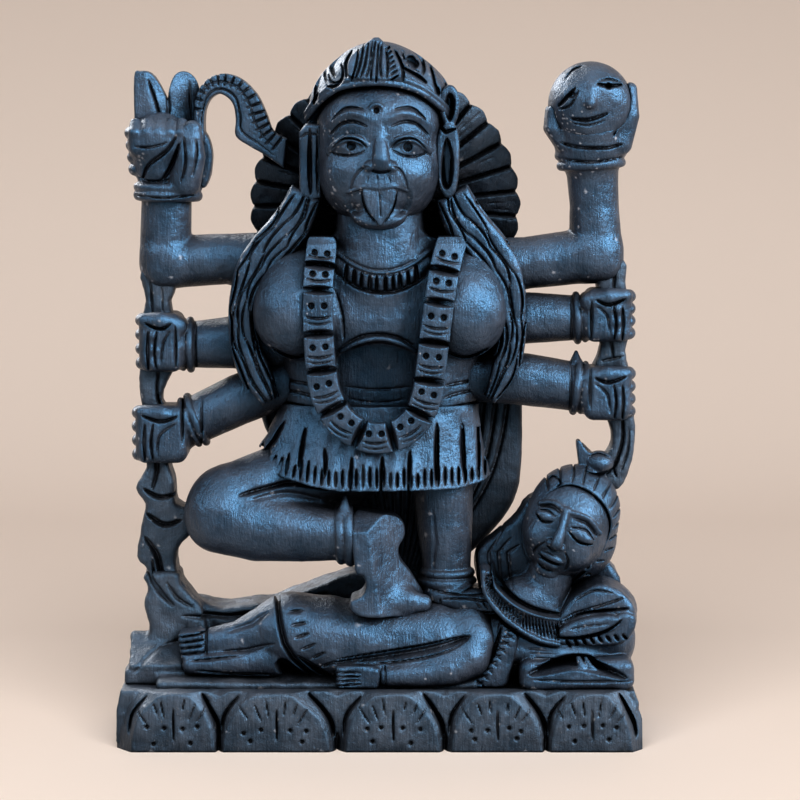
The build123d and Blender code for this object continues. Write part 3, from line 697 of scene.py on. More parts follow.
def carve_bent_foot():
    clay = Clay((-6.6, -16.6, 25.6), (13.6, -3.6, 48.0), 0.2)
    foot = curve(
        [(-4.9, 46.4), (-1.0, 46.8), (3.0, 46.2), (5.0, 44.6), (5.4, 41.8), (4.2, 39.4), (4.6, 37.0),
         (6.6, 34.2), (8.2, 31.6), (9.6, 29.4), (9.2, 27.6), (5.4, 26.4), (-2.0, 26.4), (-5.0, 27.6),
         (-5.2, 29.6), (-3.2, 30.6), (-2.2, 32.6), (-2.8, 34.8), (-4.4, 36.0)],
        closed=True,
        steps=3,
    )
    clay.add(plate(foot, -15.4, -4.6, 0.6), 0.3)
    # the ridge down the foot, with a broad facet falling away to the right and one on top
    clay.cut(half_space((-0.4, -15.2, 34.0), (-0.70, 0.70, -0.10)), 0.3)
    clay.cut(half_space((0, -15.2, 43.8), (0.05, 0.62, -0.78)), 0.3)
    clay.add(tube([(0.6, -9.4, 29.4), (6.0, -9.8, 28.6), (9.0, -9.6, 28.4)], [3.0, 2.6, 1.8]), 2.0)
    clay.roughen(0.08, 2.6, 55).roughen(0.03, 0.8, 56)
    return piece_of(clay, "bent_foot_carved", ("bent_foot",), adaptivity=0.005)


def carve_standing_leg():
    clay = Clay((5.5, -13.0, 25.0), (26.5, 6.5, 56.0), 0.22)
    calf = [(13.0, -2.0, 54.0), (13.4, -2.2, 44.0), (13.8, -2.4, 37.0), (13.9, -2.6, 31.0)]
    clay.add(tube(calf, [6.2, 5.7, 5.0, 4.7]), 0.5)
    clay.add(ball((13.2, 0.6, 46.0), (5.0, 5.4, 8.0)), 1.0)
    clay.add(hoop((14.0, -2.8, 33.6), (0, 0, 1), 4.7, 0.9), 0.2)
    clay.add(hoop((14.0, -2.8, 31.8), (0, 0, 1), 5.0, 1.0), 0.2)
    clay.add(tube([(12.4, -5.0, 29.4), (17.6, -7.2, 28.8), (22.6, -9.0, 28.2)], [3.4, 3.1, 2.2]), 0.5)
    cuts = [
        (curve([(10.2, 31.0), (14.0, 30.2), (19.0, 30.0), (23.6, 30.6)]), 0.6, 0.6),
        (curve([(13.0, 28.9), (17.0, 29.4), (21.0, 29.0), (24.0, 28.8)]), 0.7, 0.7),
        (curve([(16.4, 30.3), (19.4, 31.3), (22.6, 30.9)]), 0.6, 0.6),
        (curve([(9.4, 28.6), (15.0, 26.9), (20.0, 26.5), (24.6, 26.9)]), 0.7, 0.8),
        ([(19.6, 28.9), (20.8, 27.2)], 0.5, 0.6),
        ([(21.0, 29.0), (22.2, 27.2)], 0.5, 0.6),
        ([(22.4, 29.0), (23.4, 27.3)], 0.5, 0.5),
        ([(12.6, 29.2), (12.4, 27.4)], 0.4, 0.4),
        ([(11.0, 47.0), (11.6, 40.0), (11.0, 35.0)], 1.2, 0.25),
    ]
    clay.engrave(cuts, high=-1)
    clay.roughen(0.05, 2.8, 51).roughen(0.02, 0.8, 52)
    return piece_of(clay, "standing_leg_carved", ("standing_leg", "standing_foot"), adaptivity=0.005)


def carve_skirt():
    clay = Clay((-30.5, -16.6, 50.6), (24.4, 11.5, 68.6), 0.2)
    # flared bell, open underneath
    centre_top, centre_low = np.array((0.4, -1.5)), np.array((-2.8, -1.8))

    def bell(x, y, z):
        t = np.clip((67.5 - z) / 16.0, 0, 1.1)
        flare = t ** 1.25
        cx = centre_top[0] + (centre_low[0] - centre_top[0]) * t
        cy = centre_top[1] + (centre_low[1] - centre_top[1]) * t
        half_x = 19.9 + 5.9 * flare
        half_y = 9.6 + 3.6 * flare
        x, y = x - cx, y - cy
        angle = np.arctan2(y, x)
        fold = 0.28 * np.sin(angle * 26) * t
        k0 = np.sqrt((x / half_x) ** 2 + (y / half_y) ** 2)
        k1 = np.sqrt((x / half_x ** 2) ** 2 + (y / half_y ** 2) ** 2) + 1e-6
        side = k0 * (k0 - 1) / k1 - fold
        hem = 51.5 + 6.4 * np.clip((-x - 4.0) / 24.0, 0, 1) ** 1.5 + 1.6 * np.clip((x - 17) / 8, 0, 1) ** 2
        return np.maximum(np.maximum(side, hem - z), z - 67.8)

    clay.add((clay.low, clay.low + 80, bell))

    def hollow(x, y, z):
        k = np.sqrt(((x + 2.6) / 23.2) ** 2 + ((y + 1.0) / 10.6) ** 2)
        hem = 51.5 + 6.4 * np.clip((-x - 4.0) / 24.0, 0, 1) ** 1.5
        return np.maximum((k - 1) * 9.0, z - hem - 2.6)

    clay.cut((clay.low, clay.low + 80, hollow), 0.4)
    long_cuts = [
        ([(-18.4, 64.6), (-20.6, 60.6), (-23.6, 57.0)], 1.0, 1.6),
        ([(-21.6, 62.4), (-24.4, 59.4), (-26.6, 57.6)], 0.8, 1.2),
        ([(-14.2, 63.6), (-15.0, 59.0), (-15.6, 55.4)], 1.1, 1.7),
        ([(-10.4, 59.8), (-10.2, 57.0), (-10.4, 54.0)], 1.0, 1.5),
        ([(-5.0, 58.2), (-5.2, 55.0), (-5.3, 51.6)], 1.0, 1.5),
        ([(1.0, 58.4), (0.8, 55.0), (0.7, 51.2)], 1.0, 1.5),
        ([(6.4, 59.4), (6.3, 55.6), (6.1, 51.2)], 1.0, 1.5),
        ([(11.8, 64.6), (11.7, 58.6), (11.6, 52.2)], 1.2, 1.8),
        ([(16.9, 64.2), (17.0, 58.6), (17.2, 54.0)], 1.1, 1.6),
        ([(20.0, 65.0), (20.2, 58.6), (20.2, 52.6)], 0.8, 1.2),
    ]
    short_cuts = []
    rng = np.random.default_rng(7)
    for x in np.arange(-24.4, 21.6, 1.35):
        foot = 51.6 + 6.4 * max(0.0, (-x - 6.8) / 24.0) ** 1.5 + 1.6 * max(0.0, (x - 14.2) / 8) ** 2
        tall = rng.uniform(2.6, 4.6)
        lean = -0.10 * max(0.0, -x - 8)
        short_cuts.append(([(x - lean * 0.2, foot + tall + 0.6), (x + lean * 0.6, foot + 0.5)], 0.75, 1.1))
    clay.engrave(long_cuts + short_cuts, high=0)
    back_cuts = []
    for x in np.arange(-25.0, 22.0, 1.9):
        foot = 51.6 + 6.4 * max(0.0, (-x - 6.8) / 24.0) ** 1.5
        back_cuts.append(([(x * 0.86, foot + rng.uniform(5, 10)), (x, foot + 0.3)], 0.9, 1.0))
    clay.engrave(back_cuts, low=0)
    clay.roughen(0.05, 2.0, 61).roughen(0.02, 0.8, 62)
    return piece_of(clay, "skirt_carved", ("skirt",), adaptivity=0.003)


# ---------------------------------------------------------------- trunk and garland


def carve_torso():
    clay = Clay((-28.6, -15.6, 63.6), (30.2, 8.5, 107.5), 0.25)

    def trunk(x, y, z):
        half_x = np.interp(z, (62, 67, 73, 79, 85, 92, 97, 100.5),
                           (20.4, 19.4, 19.4, 20.4, 22.8, 23.6, 22.2, 15.0)).astype(np.float32)
        half_y = np.interp(z, (62, 67, 75, 85, 93, 98, 101),
                           (9.4, 9.0, 8.8, 9.6, 8.8, 7.4, 5.0)).astype(np.float32)
        x, y = x - 0.6, y + 1.4
        k0 = np.sqrt((x / half_x) ** 2 + (y / half_y) ** 2)
        k1 = np.sqrt((x / half_x ** 2) ** 2 + (y / half_y ** 2) ** 2) + 1e-6
        return np.maximum(k0 * (k0 - 1) / k1, z - 101.0)

    clay.add((clay.low, clay.low + 80, trunk))
    for x in (-16.2, 17.2):
        clay.add(ball((x, -7.0, 86.4), (8.5, 7.6, 9.3)), 1.2)
        clay.add(ball((x * 0.98, -5.0, 91.0), (7.6, 6.2, 8.0)), 2.5)
    clay.add(tube([(0.6, -3.4, 96.0), (0.5, -3.2, 106.0)], [9.2, 8.6]), 2.5)
    # collar necklace on the neck, with its fringe
    arc = [(x, -11.0 + 0.035 * (x - 1) ** 2, 94.6 + 0.045 * (x - 1.0) ** 2) for x in np.linspace(-8, 10, 9)]
    clay.add(tube([(p[0], p[1], p[2]) for p in arc], 0.8), 0.3)
    clay.add(tube([(p[0], p[1] + 0.2, p[2] - 2.1) for p in arc], 1.35), 0.3)
    cuts = [([(p[0], p[2] + 0.35) for p in arc], 0.6, 0.5), ([(p[0], p[2] - 0.7) for p in arc], 0.6, 0.5)]
    for i, x in enumerate((-6.0, -4.4, -3.0, -1.4, -0.1, 1.6, 3.1, 4.4, 6.0, 7.6)):
        z = 94.0 + 0.045 * (x - 1.0) ** 2
        cuts.append(([(x, z), (x + 0.05 * (x - 1), z - 3.9)], (0.8, 1.1)[i % 2], 1.4))
    cuts.append(([(p[0] * 1.02, p[2] - 4.1) for p in arc], 1.1, 1.2))
    # sternum panel edge and the recessed belly between the garland strands
    cuts.append((curve([(-7.0, 79.6), (-3.6, 81.6), (0.2, 82.2), (4.0, 81.6), (7.4, 79.8)]), 1.0, 0.9))
    cuts.append((curve([(-8.4, 91.0), (-7.0, 86.0), (-6.6, 81.0)]), 0.9, 0.5))
    # crease under each breast, waist lines
    for s in (-1, 1):
        cuts.append((curve([(0.6 + s * 12.4, 79.2), (0.6 + s * 17.0, 77.6), (0.6 + s * 21.6, 79.6)]), 1.1,
                     0.8))
        for i, z in enumerate((72.2, 70.2, 67.6)):
            drop = (-0.5, -0.9, -0.7)[i]
            cuts.append((curve([(0.6 + s * 12.6, z + drop), (0.6 + s * 15.6, z),
                                (0.6 + s * 20.6, z + 0.5)]), 0.75, 0.7))
    clay.engrave(cuts, high=0)
    belly = curve([(-8.4, 77.6), (-4.4, 79.8), (0.2, 80.7), (4.8, 79.8), (8.4, 77.6), (8.6, 70.0),
                   (6.0, 65.4), (0.3, 63.8), (-5.4, 65.6), (-8.4, 70.0)], closed=True, steps=4)
    x, z = clay.axes[0][:, None], clay.axes[2][None, :]
    clay.relief(3.6 * np.clip(0.5 - outline_distance(belly, x, z) / 1.1, 0, 1), high=0)
    clay.add(tube(curve([(-7.2, -10.4, 78.9), (-4.0, -11.4, 80.6), (0.2, -11.8, 81.5), (4.4, -11.4, 80.6),
                         (7.6, -10.4, 78.9)],
                        steps=4), 0.45), 0.3)
    clay.engrave([(curve([(-6.4, 71.4), (0, 70.8), (6.8, 71.4)]), 0.7, 0.35),
                  (curve([(-6.0, 69.0), (0, 68.2), (6.0, 69.0)]), 0.6, 0.25)], high=0)
    clay.roughen(0.07, 3.0, 71).roughen(0.03, 0.8, 72)
    return piece_of(clay, "torso_carved", ("torso", "choker"), adaptivity=0.004)


def carve_garland():
    """A flat band of small linked heads: each block has two drilled eyes and a curved mouth."""
    clay = Clay((-15.6, -17.4, 58.4), (18.4, -4.0, 101.0), 0.17)
    way = curve([(-10.9, 99.6), (-11.4, 94.0), (-11.6, 86.0), (-11.2, 78.0), (-10.2, 71.0), (-7.4, 65.6),
                 (-3.4, 62.8), (0.4, 62.0), (4.6, 63.0), (8.0, 66.0), (9.9, 71.0), (10.8, 78.0),
                 (11.8, 86.0), (13.0, 94.0), (14.4, 99.6)], steps=10)
    way = np.array(way)
    gaps = np.linalg.norm(np.diff(way, axis=0), axis=1)
    length = np.concatenate([[0], np.cumsum(gaps)])
    blocks = np.array((3.6, 4.8, 8.6, 7.2, 8.0, 7.4, 6.6, 7.4, 6.8, 7.6, 8.0, 6.2, 4.8))
    ends = np.concatenate([[0], np.cumsum(blocks)]) / blocks.sum() * length[-1]

    def station(s):
        return np.array((np.interp(s, length, way[:, 0]), np.interp(s, length, way[:, 1])))

    u, v = clay.axes[0][:, None], clay.axes[2][None, :]
    d, t = line_distance([tuple(p) for p in way], u, v)
    front = np.interp(v, (59, 66, 80, 92, 100), (-15.2, -15.2, -15.6, -15.0,
                                                 -11.6)) + 0.25 * (d / 2.75) ** 2
    y = clay.axes[1][None, :, None]
    band = np.maximum(np.maximum((d - 2.95)[:, None, :], front[:, None, :] - y), y + 5.0)
    clay.field = np.minimum(band, FAR).astype(np.float32)
    cuts, pits = [], []
    for i in range(len(blocks)):
        start, end = ends[i], ends[i + 1]
        here = station(start)
        ahead = station(min(start + 0.5, length[-1])) - station(max(start - 0.5, 0))
        ahead /= np.linalg.norm(ahead)
        across = np.array((-ahead[1], ahead[0]))
        if i:
            cuts.append(([here - across * 3.3, here + across * 3.3], 2.0, 2.1))
        centre = station((start + end) / 2)
        ahead = station(end) - station(start)
        ahead /= np.linalg.norm(ahead)
        across = np.array((-ahead[1], ahead[0]))
        up = -ahead if i < 6 else ahead
        if i in (5, 6, 7):
            up = np.array((0.5, 0.85)) if i == 5 else np.array((0.0, 1.0)) if i == 6 else np.array((-0.5,
                0.85))
            up = up / np.linalg.norm(up)
            across = np.array((up[1], -up[0]))
        size = blocks[i] / 8.0
        for side in (-1, 1):
            pits.append(centre + across * side * 1.25 + up * 1.15 * size)
        mouth = [centre + across * k * 1.3 - up * (1.2 * size - 0.15 * abs(k) ** 1.6) for k in (-2, -1, 0,
            1, 2)]
        cuts.append((mouth, 0.7, 0.6))
        if blocks[i] > 6.5:
            chin = [p - up * 1.1 for p in mouth]
            cuts.append((chin, 0.5, 0.45))
    clay.engrave(cuts)
    clay.dots(pits, 0.55, 1.1)
    clay.roughen(0.07, 1.6, 81)
    return piece_of(
        clay, "garland_carved",
        ("garland_upper_left", "garland_lower_left", "garland_lower_right", "garland_upper_right"),
    )


# ---------------------------------------------------------------- head, ears and crown


def carve_head():
    clay = Clay((-13.6, -17.2, 102.2), (14.0, 7.0, 133.0), 0.17)
    clay.add(ball((0.3, -4.0, 118.4), (12.3, 10.4, 14.6)))
    clay.add(ball((0.4, -6.4, 112.6), (11.2, 8.9, 9.0)), 3.0)
    clay.add(ball((0.4, -3.8, 123.2), (12.4, 10.9, 10.6)), 1.0)
    # brow shelf, cheeks and eyeballs
    for s in (-1, 1):
        clay.add(ball((0.4 + s * 5.6, -10.2, 119.2), (3.7, 4.0, 2.6)), 0.5)
        clay.add(ball((0.4 + s * 6.0, -9.6, 114.0), (4.6, 4.4, 4.0)), 2.2)
        brow = curve([(0.4 + s * 1.2, -13.9, 124.2), (0.4 + s * 4.4, -13.6, 125.6),
                      (0.4 + s * 7.6, -11.8, 124.8), (0.4 + s * 10.2, -9.0, 122.4)], steps=3)
        clay.add(tube(brow, 0.75), 0.7)
        lid = curve([(0.4 + s * 2.0, -13.4, 119.0), (0.4 + s * 3.6, -14.4, 120.4),
                     (0.4 + s * 5.8, -14.4, 120.9), (0.4 + s * 8.0, -13.2, 119.9),
                     (0.4 + s * 9.8, -10.8, 118.2)], steps=3)
        clay.add(tube(lid, 0.75), 0.25)
        under = curve([(0.4 + s * 2.0, -13.2, 118.6), (0.4 + s * 4.0, -13.6, 117.1),
                       (0.4 + s * 6.2, -13.3, 116.6), (0.4 + s * 9.4, -11.0, 117.8)], steps=3)
        clay.add(tube(under, 0.35), 0.3)
    # nose with a square bridge and broad wings
    clay.add(tube([(0.5, -13.2, 124.0), (0.7, -14.4, 120.0), (0.8, -15.6, 116.6)], [1.15, 1.25, 1.6]), 0.6)
    clay.add(ball((0.8, -15.2, 115.7), (1.9, 1.7, 1.5)), 0.5)
    for s in (-1, 1):
        clay.add(ball((0.7 + s * 2.0, -14.3, 115.3), (1.5, 1.9, 1.3)), 0.35)
    # muzzle, open mouth and chin
    clay.add(ball((0.4, -11.4, 110.6), (6.2, 4.0, 5.4)), 1.2)
    clay.add(ball((0.4, -11.2, 105.6), (5.4, 3.8, 2.8)), 1.0)
    clay.engrave(
        [
            (curve([(-5.2, 110.6), (-4.6, 112.8), (-3.2, 114.7), (-1.4, 115.4)]), 0.7, 0.4),
            (curve([(6.0, 110.6), (5.5, 112.8), (4.4, 114.7), (3.0, 115.3)]), 0.7, 0.4),
        ],
        high=-8,
    )
    mouth = curve([(-5.2, 110.6), (-2.4, 111.0), (0.4, 110.6), (3.2, 111.0), (6.0, 110.6), (6.2, 108.2),
                   (4.4, 105.6), (0.4, 104.4), (-3.4, 105.4), (-5.6, 108.0)], closed=True, steps=4)
    u, v = clay.axes[0][:, None], clay.axes[2][None, :]
    clay.relief(0.8 * np.clip(0.5 - outline_distance(mouth, u, v) / 1.2, 0, 1), high=-8)
    lip = curve([(-5.6, -13.4, 110.4), (-2.6, -14.9, 111.4), (0.4, -15.2, 111.1), (3.4, -14.9, 111.5),
                 (6.2, -13.2, 110.6)], steps=3)
    clay.add(tube(lip, 0.42), 0.2)
    # tongue, a long leaf down to the chin
    tongue = curve([(-2.7, 110.8), (0.4, 111.0), (3.5, 110.8), (3.8, 109.0), (3.1, 107.0), (1.9, 105.0),
                    (0.7, 103.7), (-0.5, 104.8), (-1.8, 106.8), (-2.7, 109.0)], closed=True, steps=4)
    clay.add(plate(tongue, -15.3, -11.0, 0.4), 0.25)
    pupils = [(-5.0, 119.3), (6.0, 119.1)]
    cuts = [
        (curve([(-9.0, 118.0), (-6.6, 117.5), (-4.2, 117.6), (-2.2, 118.4)]), 0.5, 0.5),
        (curve([(9.8, 118.0), (7.4, 117.3), (5.0, 117.5), (2.8, 118.6)]), 0.5, 0.5),
        (curve([(-8.8, 118.6), (-7.0, 120.4), (-5.2, 120.8), (-3.2, 120.2), (-1.9, 118.8)]), 0.6, 0.7),
        (curve([(9.6, 118.6), (7.8, 120.4), (6.0, 120.8), (4.0, 120.2), (2.7, 118.8)]), 0.6, 0.7),
        (curve([(-9.4, 121.2), (-7.0, 123.5), (-4.4, 124.0), (-1.8, 123.0)]), 0.8, 0.7),
        (curve([(10.2, 121.2), (7.8, 123.5), (5.2, 124.0), (2.6, 123.0)]), 0.8, 0.7),
        (curve([(-8.9, 124.2), (-6.0, 126.6), (-2.4, 126.4)]), 0.7, 0.6),
        (curve([(9.7, 124.2), (6.8, 126.6), (3.2, 126.4)]), 0.7, 0.6),
        ([(0.5, 110.4), (0.6, 107.6), (0.7, 105.4)], 0.4, 0.4),
        (curve([(-1.3, 114.6), (0.8, 114.2), (2.8, 114.6)]), 0.6, 0.5),
        (curve([(-2.9, 110.6), (-2.2, 107.2), (0.2, 104.2)]), 0.5, 0.5),
        (curve([(3.9, 110.6), (3.2, 107.4), (1.2, 104.2)]), 0.5, 0.5),
        ([(0.0, 113.8), (0.1, 112.2)], 0.4, 0.3),
        ([(-1.6, 113.6), (-1.9, 112.2)], 0.4, 0.3),
        ([(2.2, 113.6), (2.6, 112.2)], 0.4, 0.3),
    ]
    clay.engrave(cuts, high=-7)
    clay.dots(pupils, 0.8, 1.0, high=-8)
    # the ring mark on the forehead
    mark = hoop((-0.1, -13.9, 126.2), (0, 1, 0.25), 1.25, 0.4)
    clay.add(mark, 0.2)
    clay.dots([(-0.1, 126.2)], 0.5, 1.0, high=-8)
    clay.roughen(0.05, 2.6, 91).roughen(0.02, 0.7, 92)
    return piece_of(clay, "head_carved", ("head",), adaptivity=0.0015)


def carve_ears():
    clay = Clay((-16.0, -8.6, 107.6), (-10.4, 4.4, 124.4), 0.18)
    clay.add(plate([(-15.3, 109.4), (-15.4, 121.8), (-14.0, 123.6), (-11.0, 123.4), (-11.0, 109.0),
                    (-13.2, 108.2)], -7.6, 3.2, 0.7))
    clay.engrave(
        [
            ([(-13.2, 122.8), (-13.3, 115), (-13.1, 109.6)], 1.1, 1.5),
            ([(-11.7, 122.6), (-11.8, 115), (-11.7, 109.6)], 0.6, 0.8),
            ([(-15.2, 120.6), (-14.0, 121.6), (-11.2, 121.4)], 0.6, 0.5),
        ],
        high=-3,
    )
    clay.roughen(0.04, 1.6, 93)
    piece_of(clay, "ear_left_carved", ("ear_left",))

    clay = Clay((10.8, -9.6, 106.6), (17.2, 4.4, 132.4), 0.18)
    lobe = curve([(13.4, 123.6), (11.6, 121.0), (11.5, 116.0), (12.0, 111.6), (13.4, 109.0), (15.2, 109.6),
                  (16.0, 113.0), (16.2, 119.0), (15.6, 123.0)], closed=True, steps=3)
    clay.add(plate(lobe, -8.4, 2.6, 0.8))
    top = curve([(13.6, 131.0), (12.2, 128.6), (12.6, 124.8), (14.2, 122.2), (15.8, 124.6), (16.2, 128.4),
                 (15.2, 130.8)], closed=True, steps=3)
    clay.add(plate(top, -8.0, 2.6, 0.7), 0.4)
    u, v = clay.axes[0][:, None], clay.axes[2][None, :]
    slot = curve([(13.7, 120.6), (12.8, 117.0), (12.7, 112.6), (13.5, 110.8), (14.6, 112.2), (14.8, 117.0)],
                 closed=True, steps=3)
    hole = curve([(14.2, 129.4), (13.4, 127.6), (13.7, 125.2), (14.3, 124.2), (15.0, 125.6), (15.1, 128.2)],
                 closed=True, steps=3)
    for outline in (slot, hole):
        clay.relief(1.7 * np.clip(0.5 - outline_distance(outline, u, v) / 0.5, 0, 1), high=-3.5)
    clay.engrave([([(12.2, 123.2), (13.4, 121.9), (15.6, 122.6)], 0.9, 1.1)], high=-3)
    clay.roughen(0.04, 1.6, 94)
    piece_of(clay, "ear_right_carved", ("ear_right",))


def carve_crown():
    clay = Clay((-15.4, -17.0, 110.0), (16.0, 12.4, 140.0), 0.19)
    clay.add(ball((0.4, -1.5, 120.6), (14.3, 11.7, 19.2)))
    clay.add(ball((1.0, -1.4, 127.0), (14.2, 11.6, 10.6)), 2.0)
    # everything below the band is open to the face; the back hangs lower
    rim_front = curve([(-13.8, 124.2), (-11.9, 126.9), (-9.2, 129.2), (-6.0, 130.6), (-0.4, 131.2),
                       (4.5, 130.8), (8.8, 129.2), (12.7, 126.2), (14.6, 123.8)], steps=4)
    below = [tuple(p) for p in rim_front] + [(16.5, 122), (18, 100), (-18, 100), (-16.5, 122)]
    clay.cut(plate(below, -25, -1.5, 0.1), 0.3)
    clay.cut(half_space((0, 0, 113.5), (0, 0, 1)), 0.4)
    # the two rims of the band
    rng = np.random.default_rng(9)

    def rim(offset, lift, thick):
        points = []
        for p in rim_front:
            x = p[0]
            y = -1.5 - 11.9 * math.sqrt(max(0.03, 1 - ((x - 0.4) / 14.9) ** 2)) - lift
            points.append((x * (1 + 0.006 * offset), y, p[1] + offset))
        return tube(points, thick)

    clay.add(rim(0.3, -0.3, 0.6), 0.25)
    clay.add(rim(1.4, -0.2, 0.6), 0.25)
    # feathered crest
    crest = curve([(-4.8, 132.6), (-1.2, 132.1), (2.4, 132.2), (5.2, 132.8), (4.8, 134.8), (3.0, 137.6),
                   (0.6, 140.2), (-0.6, 140.4), (-3.2, 138.4), (-5.6, 136.2), (-5.8, 133.6)], closed=True,
                  steps=4)
    clay.add(plate(crest, -14.4, -4.0, 1.2, 0.0), 0.6)
    clay.cut(half_space((0, -14.2, 132.2), (0, 8.6, -6.0)), 0.4)
    cuts = []
    for x0, x1, z1 in ((-5.0, -3.6, 138.2), (-4.2, -2.6, 138.9), (-3.3, -1.7, 139.4), (-2.2, -1.0, 139.8),
                       (-1.2, -0.3, 139.9), (-0.2, 0.3, 139.8), (0.9, 0.9, 139.4), (1.9, 1.7, 138.4)):
        bend = rng.uniform(-0.3, 0.3)
        cuts.append((curve([(x0, 131.4 + rng.uniform(0, 1.2)), ((x0 + x1) / 2 + bend, 135), (x1, z1)],
                           steps=3), 0.66, 0.85))
    for i in range(7):
        z = 132.0 + 0.95 * i
        cuts.append(([(2.6 - 0.14 * i, z), (4.4 - 0.3 * i, z + 1.1)], 0.55, 0.7))
    cuts.append((curve([(-5.9, 132.6), (-6.0, 135.4), (-4.8, 138.0)]), 0.8, 0.9))
    cuts.append((curve([(5.0, 131.6), (4.9, 134.6), (3.4, 138.0)]), 0.8, 1.0))
    # left motif: a loop with a tail
    cuts += [
        (curve([(-8.2, 132.6), (-8.9, 134.4), (-8.2, 136.2), (-6.4, 137.8), (-4.9, 138.9)]), 1.1, 1.3),
        (curve([(-9.6, 133.4), (-8.8, 131.6), (-7.0, 132.0), (-6.6, 134.0), (-7.2, 135.4)]), 0.6, 0.7),
        (curve([(-9.9, 131.4), (-10.3, 133.4), (-9.7, 135.4), (-8.0, 137.4)]), 0.6, 0.7),
        (curve([(-9.8, 130.8), (-8.2, 130.9), (-6.4, 132.2)]), 0.8, 0.9),
        (curve([(-12.4, 128.4), (-11.8, 131.4), (-10.9, 134.0)]), 0.9, 1.0),
        ([(-12.6, 127.2), (-11.6, 129.6)], 1.1, 1.1),
    ]
    # right motif: an eye in a long rhombus
    cuts += [
        (curve([(4.6, 139.2), (6.6, 138.4), (8.6, 136.4), (9.2, 134.2), (8.8, 133.0)]), 0.9, 1.2),
        (curve([(5.0, 138.0), (5.2, 136.4), (6.4, 134.6), (8.4, 133.6)]), 0.55, 0.6),
        (curve([(4.7, 134.6), (6.6, 133.6), (8.6, 132.4), (9.8, 131.4)]), 1.0, 1.2),
        (curve([(9.8, 136.8), (10.8, 133.6), (11.4, 131.0), (12.0, 129.4)]), 0.7, 0.9),
        ([(11.6, 131.0), (12.1, 129.0)], 1.1, 1.2),
        (curve([(12.4, 135.2), (13.2, 132.4), (13.8, 129.6)]), 0.6, 0.6),
    ]
    clay.engrave(cuts, high=-2)
    clay.dots([(6.6, 136.0), (7.3, 135.2)], 0.85, 1.4, high=-4)
    # the back and sides: scrolls and upright flutes
    back = [([(x, 115), (x * 0.92, 124), (x * 0.7, 133)], 1.0, 0.7) for x in np.linspace(-12, 12, 9)]
    clay.engrave(back, low=3)
    side = [([(y, 114.6), (y + 0.2, 124), (y * 0.8, 131)], 0.9, 0.55) for y in (1.0, 3.4, 5.8, 8.2)]
    clay.engrave(side, view="side")
    clay.roughen(0.05, 2.0, 95).roughen(0.025, 0.7, 96)
    return piece_of(clay, "crown_carved", ("crown_band", "crown_cap", "crown_crest"), adaptivity=0.003)


def carve_halo():
    low, high = node_box("halo")
    clay = Clay((low[0] - 0.5, low[1] - 0.8, low[2] - 0.5), (high[0] + 0.5, high[1] + 0.4, high[2] + 0.6),
                0.24)
    centre, radius = (1.5, 106.9), 27.7
    u, v = clay.axes[0][:, None], clay.axes[2][None, :]
    du, dv = u - centre[0], v - centre[1]
    away = np.hypot(du, dv)
    angle = np.degrees(np.arctan2(du, dv))
    # overlapping leaves, each stepping forward from the next
    count = 33
    turn = (angle + 360 / count * 0.3) / (360 / count)
    step = turn - np.floor(turn)
    edge = radius - 0.3 - 1.1 * np.abs(step - 0.5) ** 1.5 * 2 + 0 * dv
    lift = (1.7 * np.where(angle >= 0, 1 - step, step) + 0.35 * np.minimum(1,
        (radius - away) / 3)).astype(np.float32)
    slot = np.clip(1 - np.minimum(step, 1 - step) * away * math.radians(360 / count) / 0.5, 0,
                   1) * np.clip((away - 13) / 2, 0, 1)
    front = low[1] + 2.1 - lift + 2.0 * slot + 0.10 * np.clip(away - 20, 0, 10)
    y = clay.axes[1][None, :, None]
    body = np.maximum(np.maximum((away - edge)[:, None, :], front[:, None, :] - y), y - high[1] + 0.3)
    body = np.maximum(body, low[2] - v[None, :, :].reshape(1, 1, -1))
    clay.field = np.minimum(body, FAR).astype(np.float32)
    rng = np.random.default_rng(31)
    ribs = []
    for i in range(46):
        a = math.radians(rng.uniform(-130, 130))
        r0 = rng.uniform(17, 24)
        s, c = math.sin(a), math.cos(a)
        ribs.append((((centre[0] + r0 * s, centre[1] + r0 * c),
                      (centre[0] + (r0 + 4) * s, centre[1] + (r0 + 4) * c)), 0.5, 0.22))
    clay.engrave(ribs, high=9)
    clay.engrave(fan(centre, 5, 21, -150, 150, 21, 1.1, 0.6), low=10.5)
    clay.roughen(0.09, 1.8, 97).roughen(0.04, 0.8, 98)
    return piece_of(clay, "halo_carved", ("halo",), "ebony_ground", 0.004)


# ---------------------------------------------------------------- hair


LEFT_EDGES = (
    ((-11.2, 108.6), (-12.6, 104.2), (-15.0, 99.4), (-18.8, 95.2), (-22.4, 90.4), (-24.0, 85.8),
     (-23.4, 80.4), (-21.4, 75.6), (-19.6, 69.4)),
    ((-17.0, 111.4), (-20.2, 106.0), (-24.6, 101.0), (-27.6, 96.4), (-29.2, 90.4), (-29.6, 83.6),
     (-28.8, 77.4), (-26.8, 72.2), (-23.0, 67.6)),
)
RIGHT_EDGES = (
    ((11.6, 108.6), (12.8, 104.0), (15.2, 99.4), (19.0, 94.8), (22.4, 89.6), (23.8, 85.0), (23.8, 80.6),
     (22.6, 76.0), (21.2, 69.6)),
    ((18.0, 111.4), (21.0, 106.4), (25.2, 101.4), (28.4, 96.4), (29.6, 90.6), (29.7, 84.6), (29.2, 78.6),
     (27.4, 72.8), (23.4, 68.0)),
)


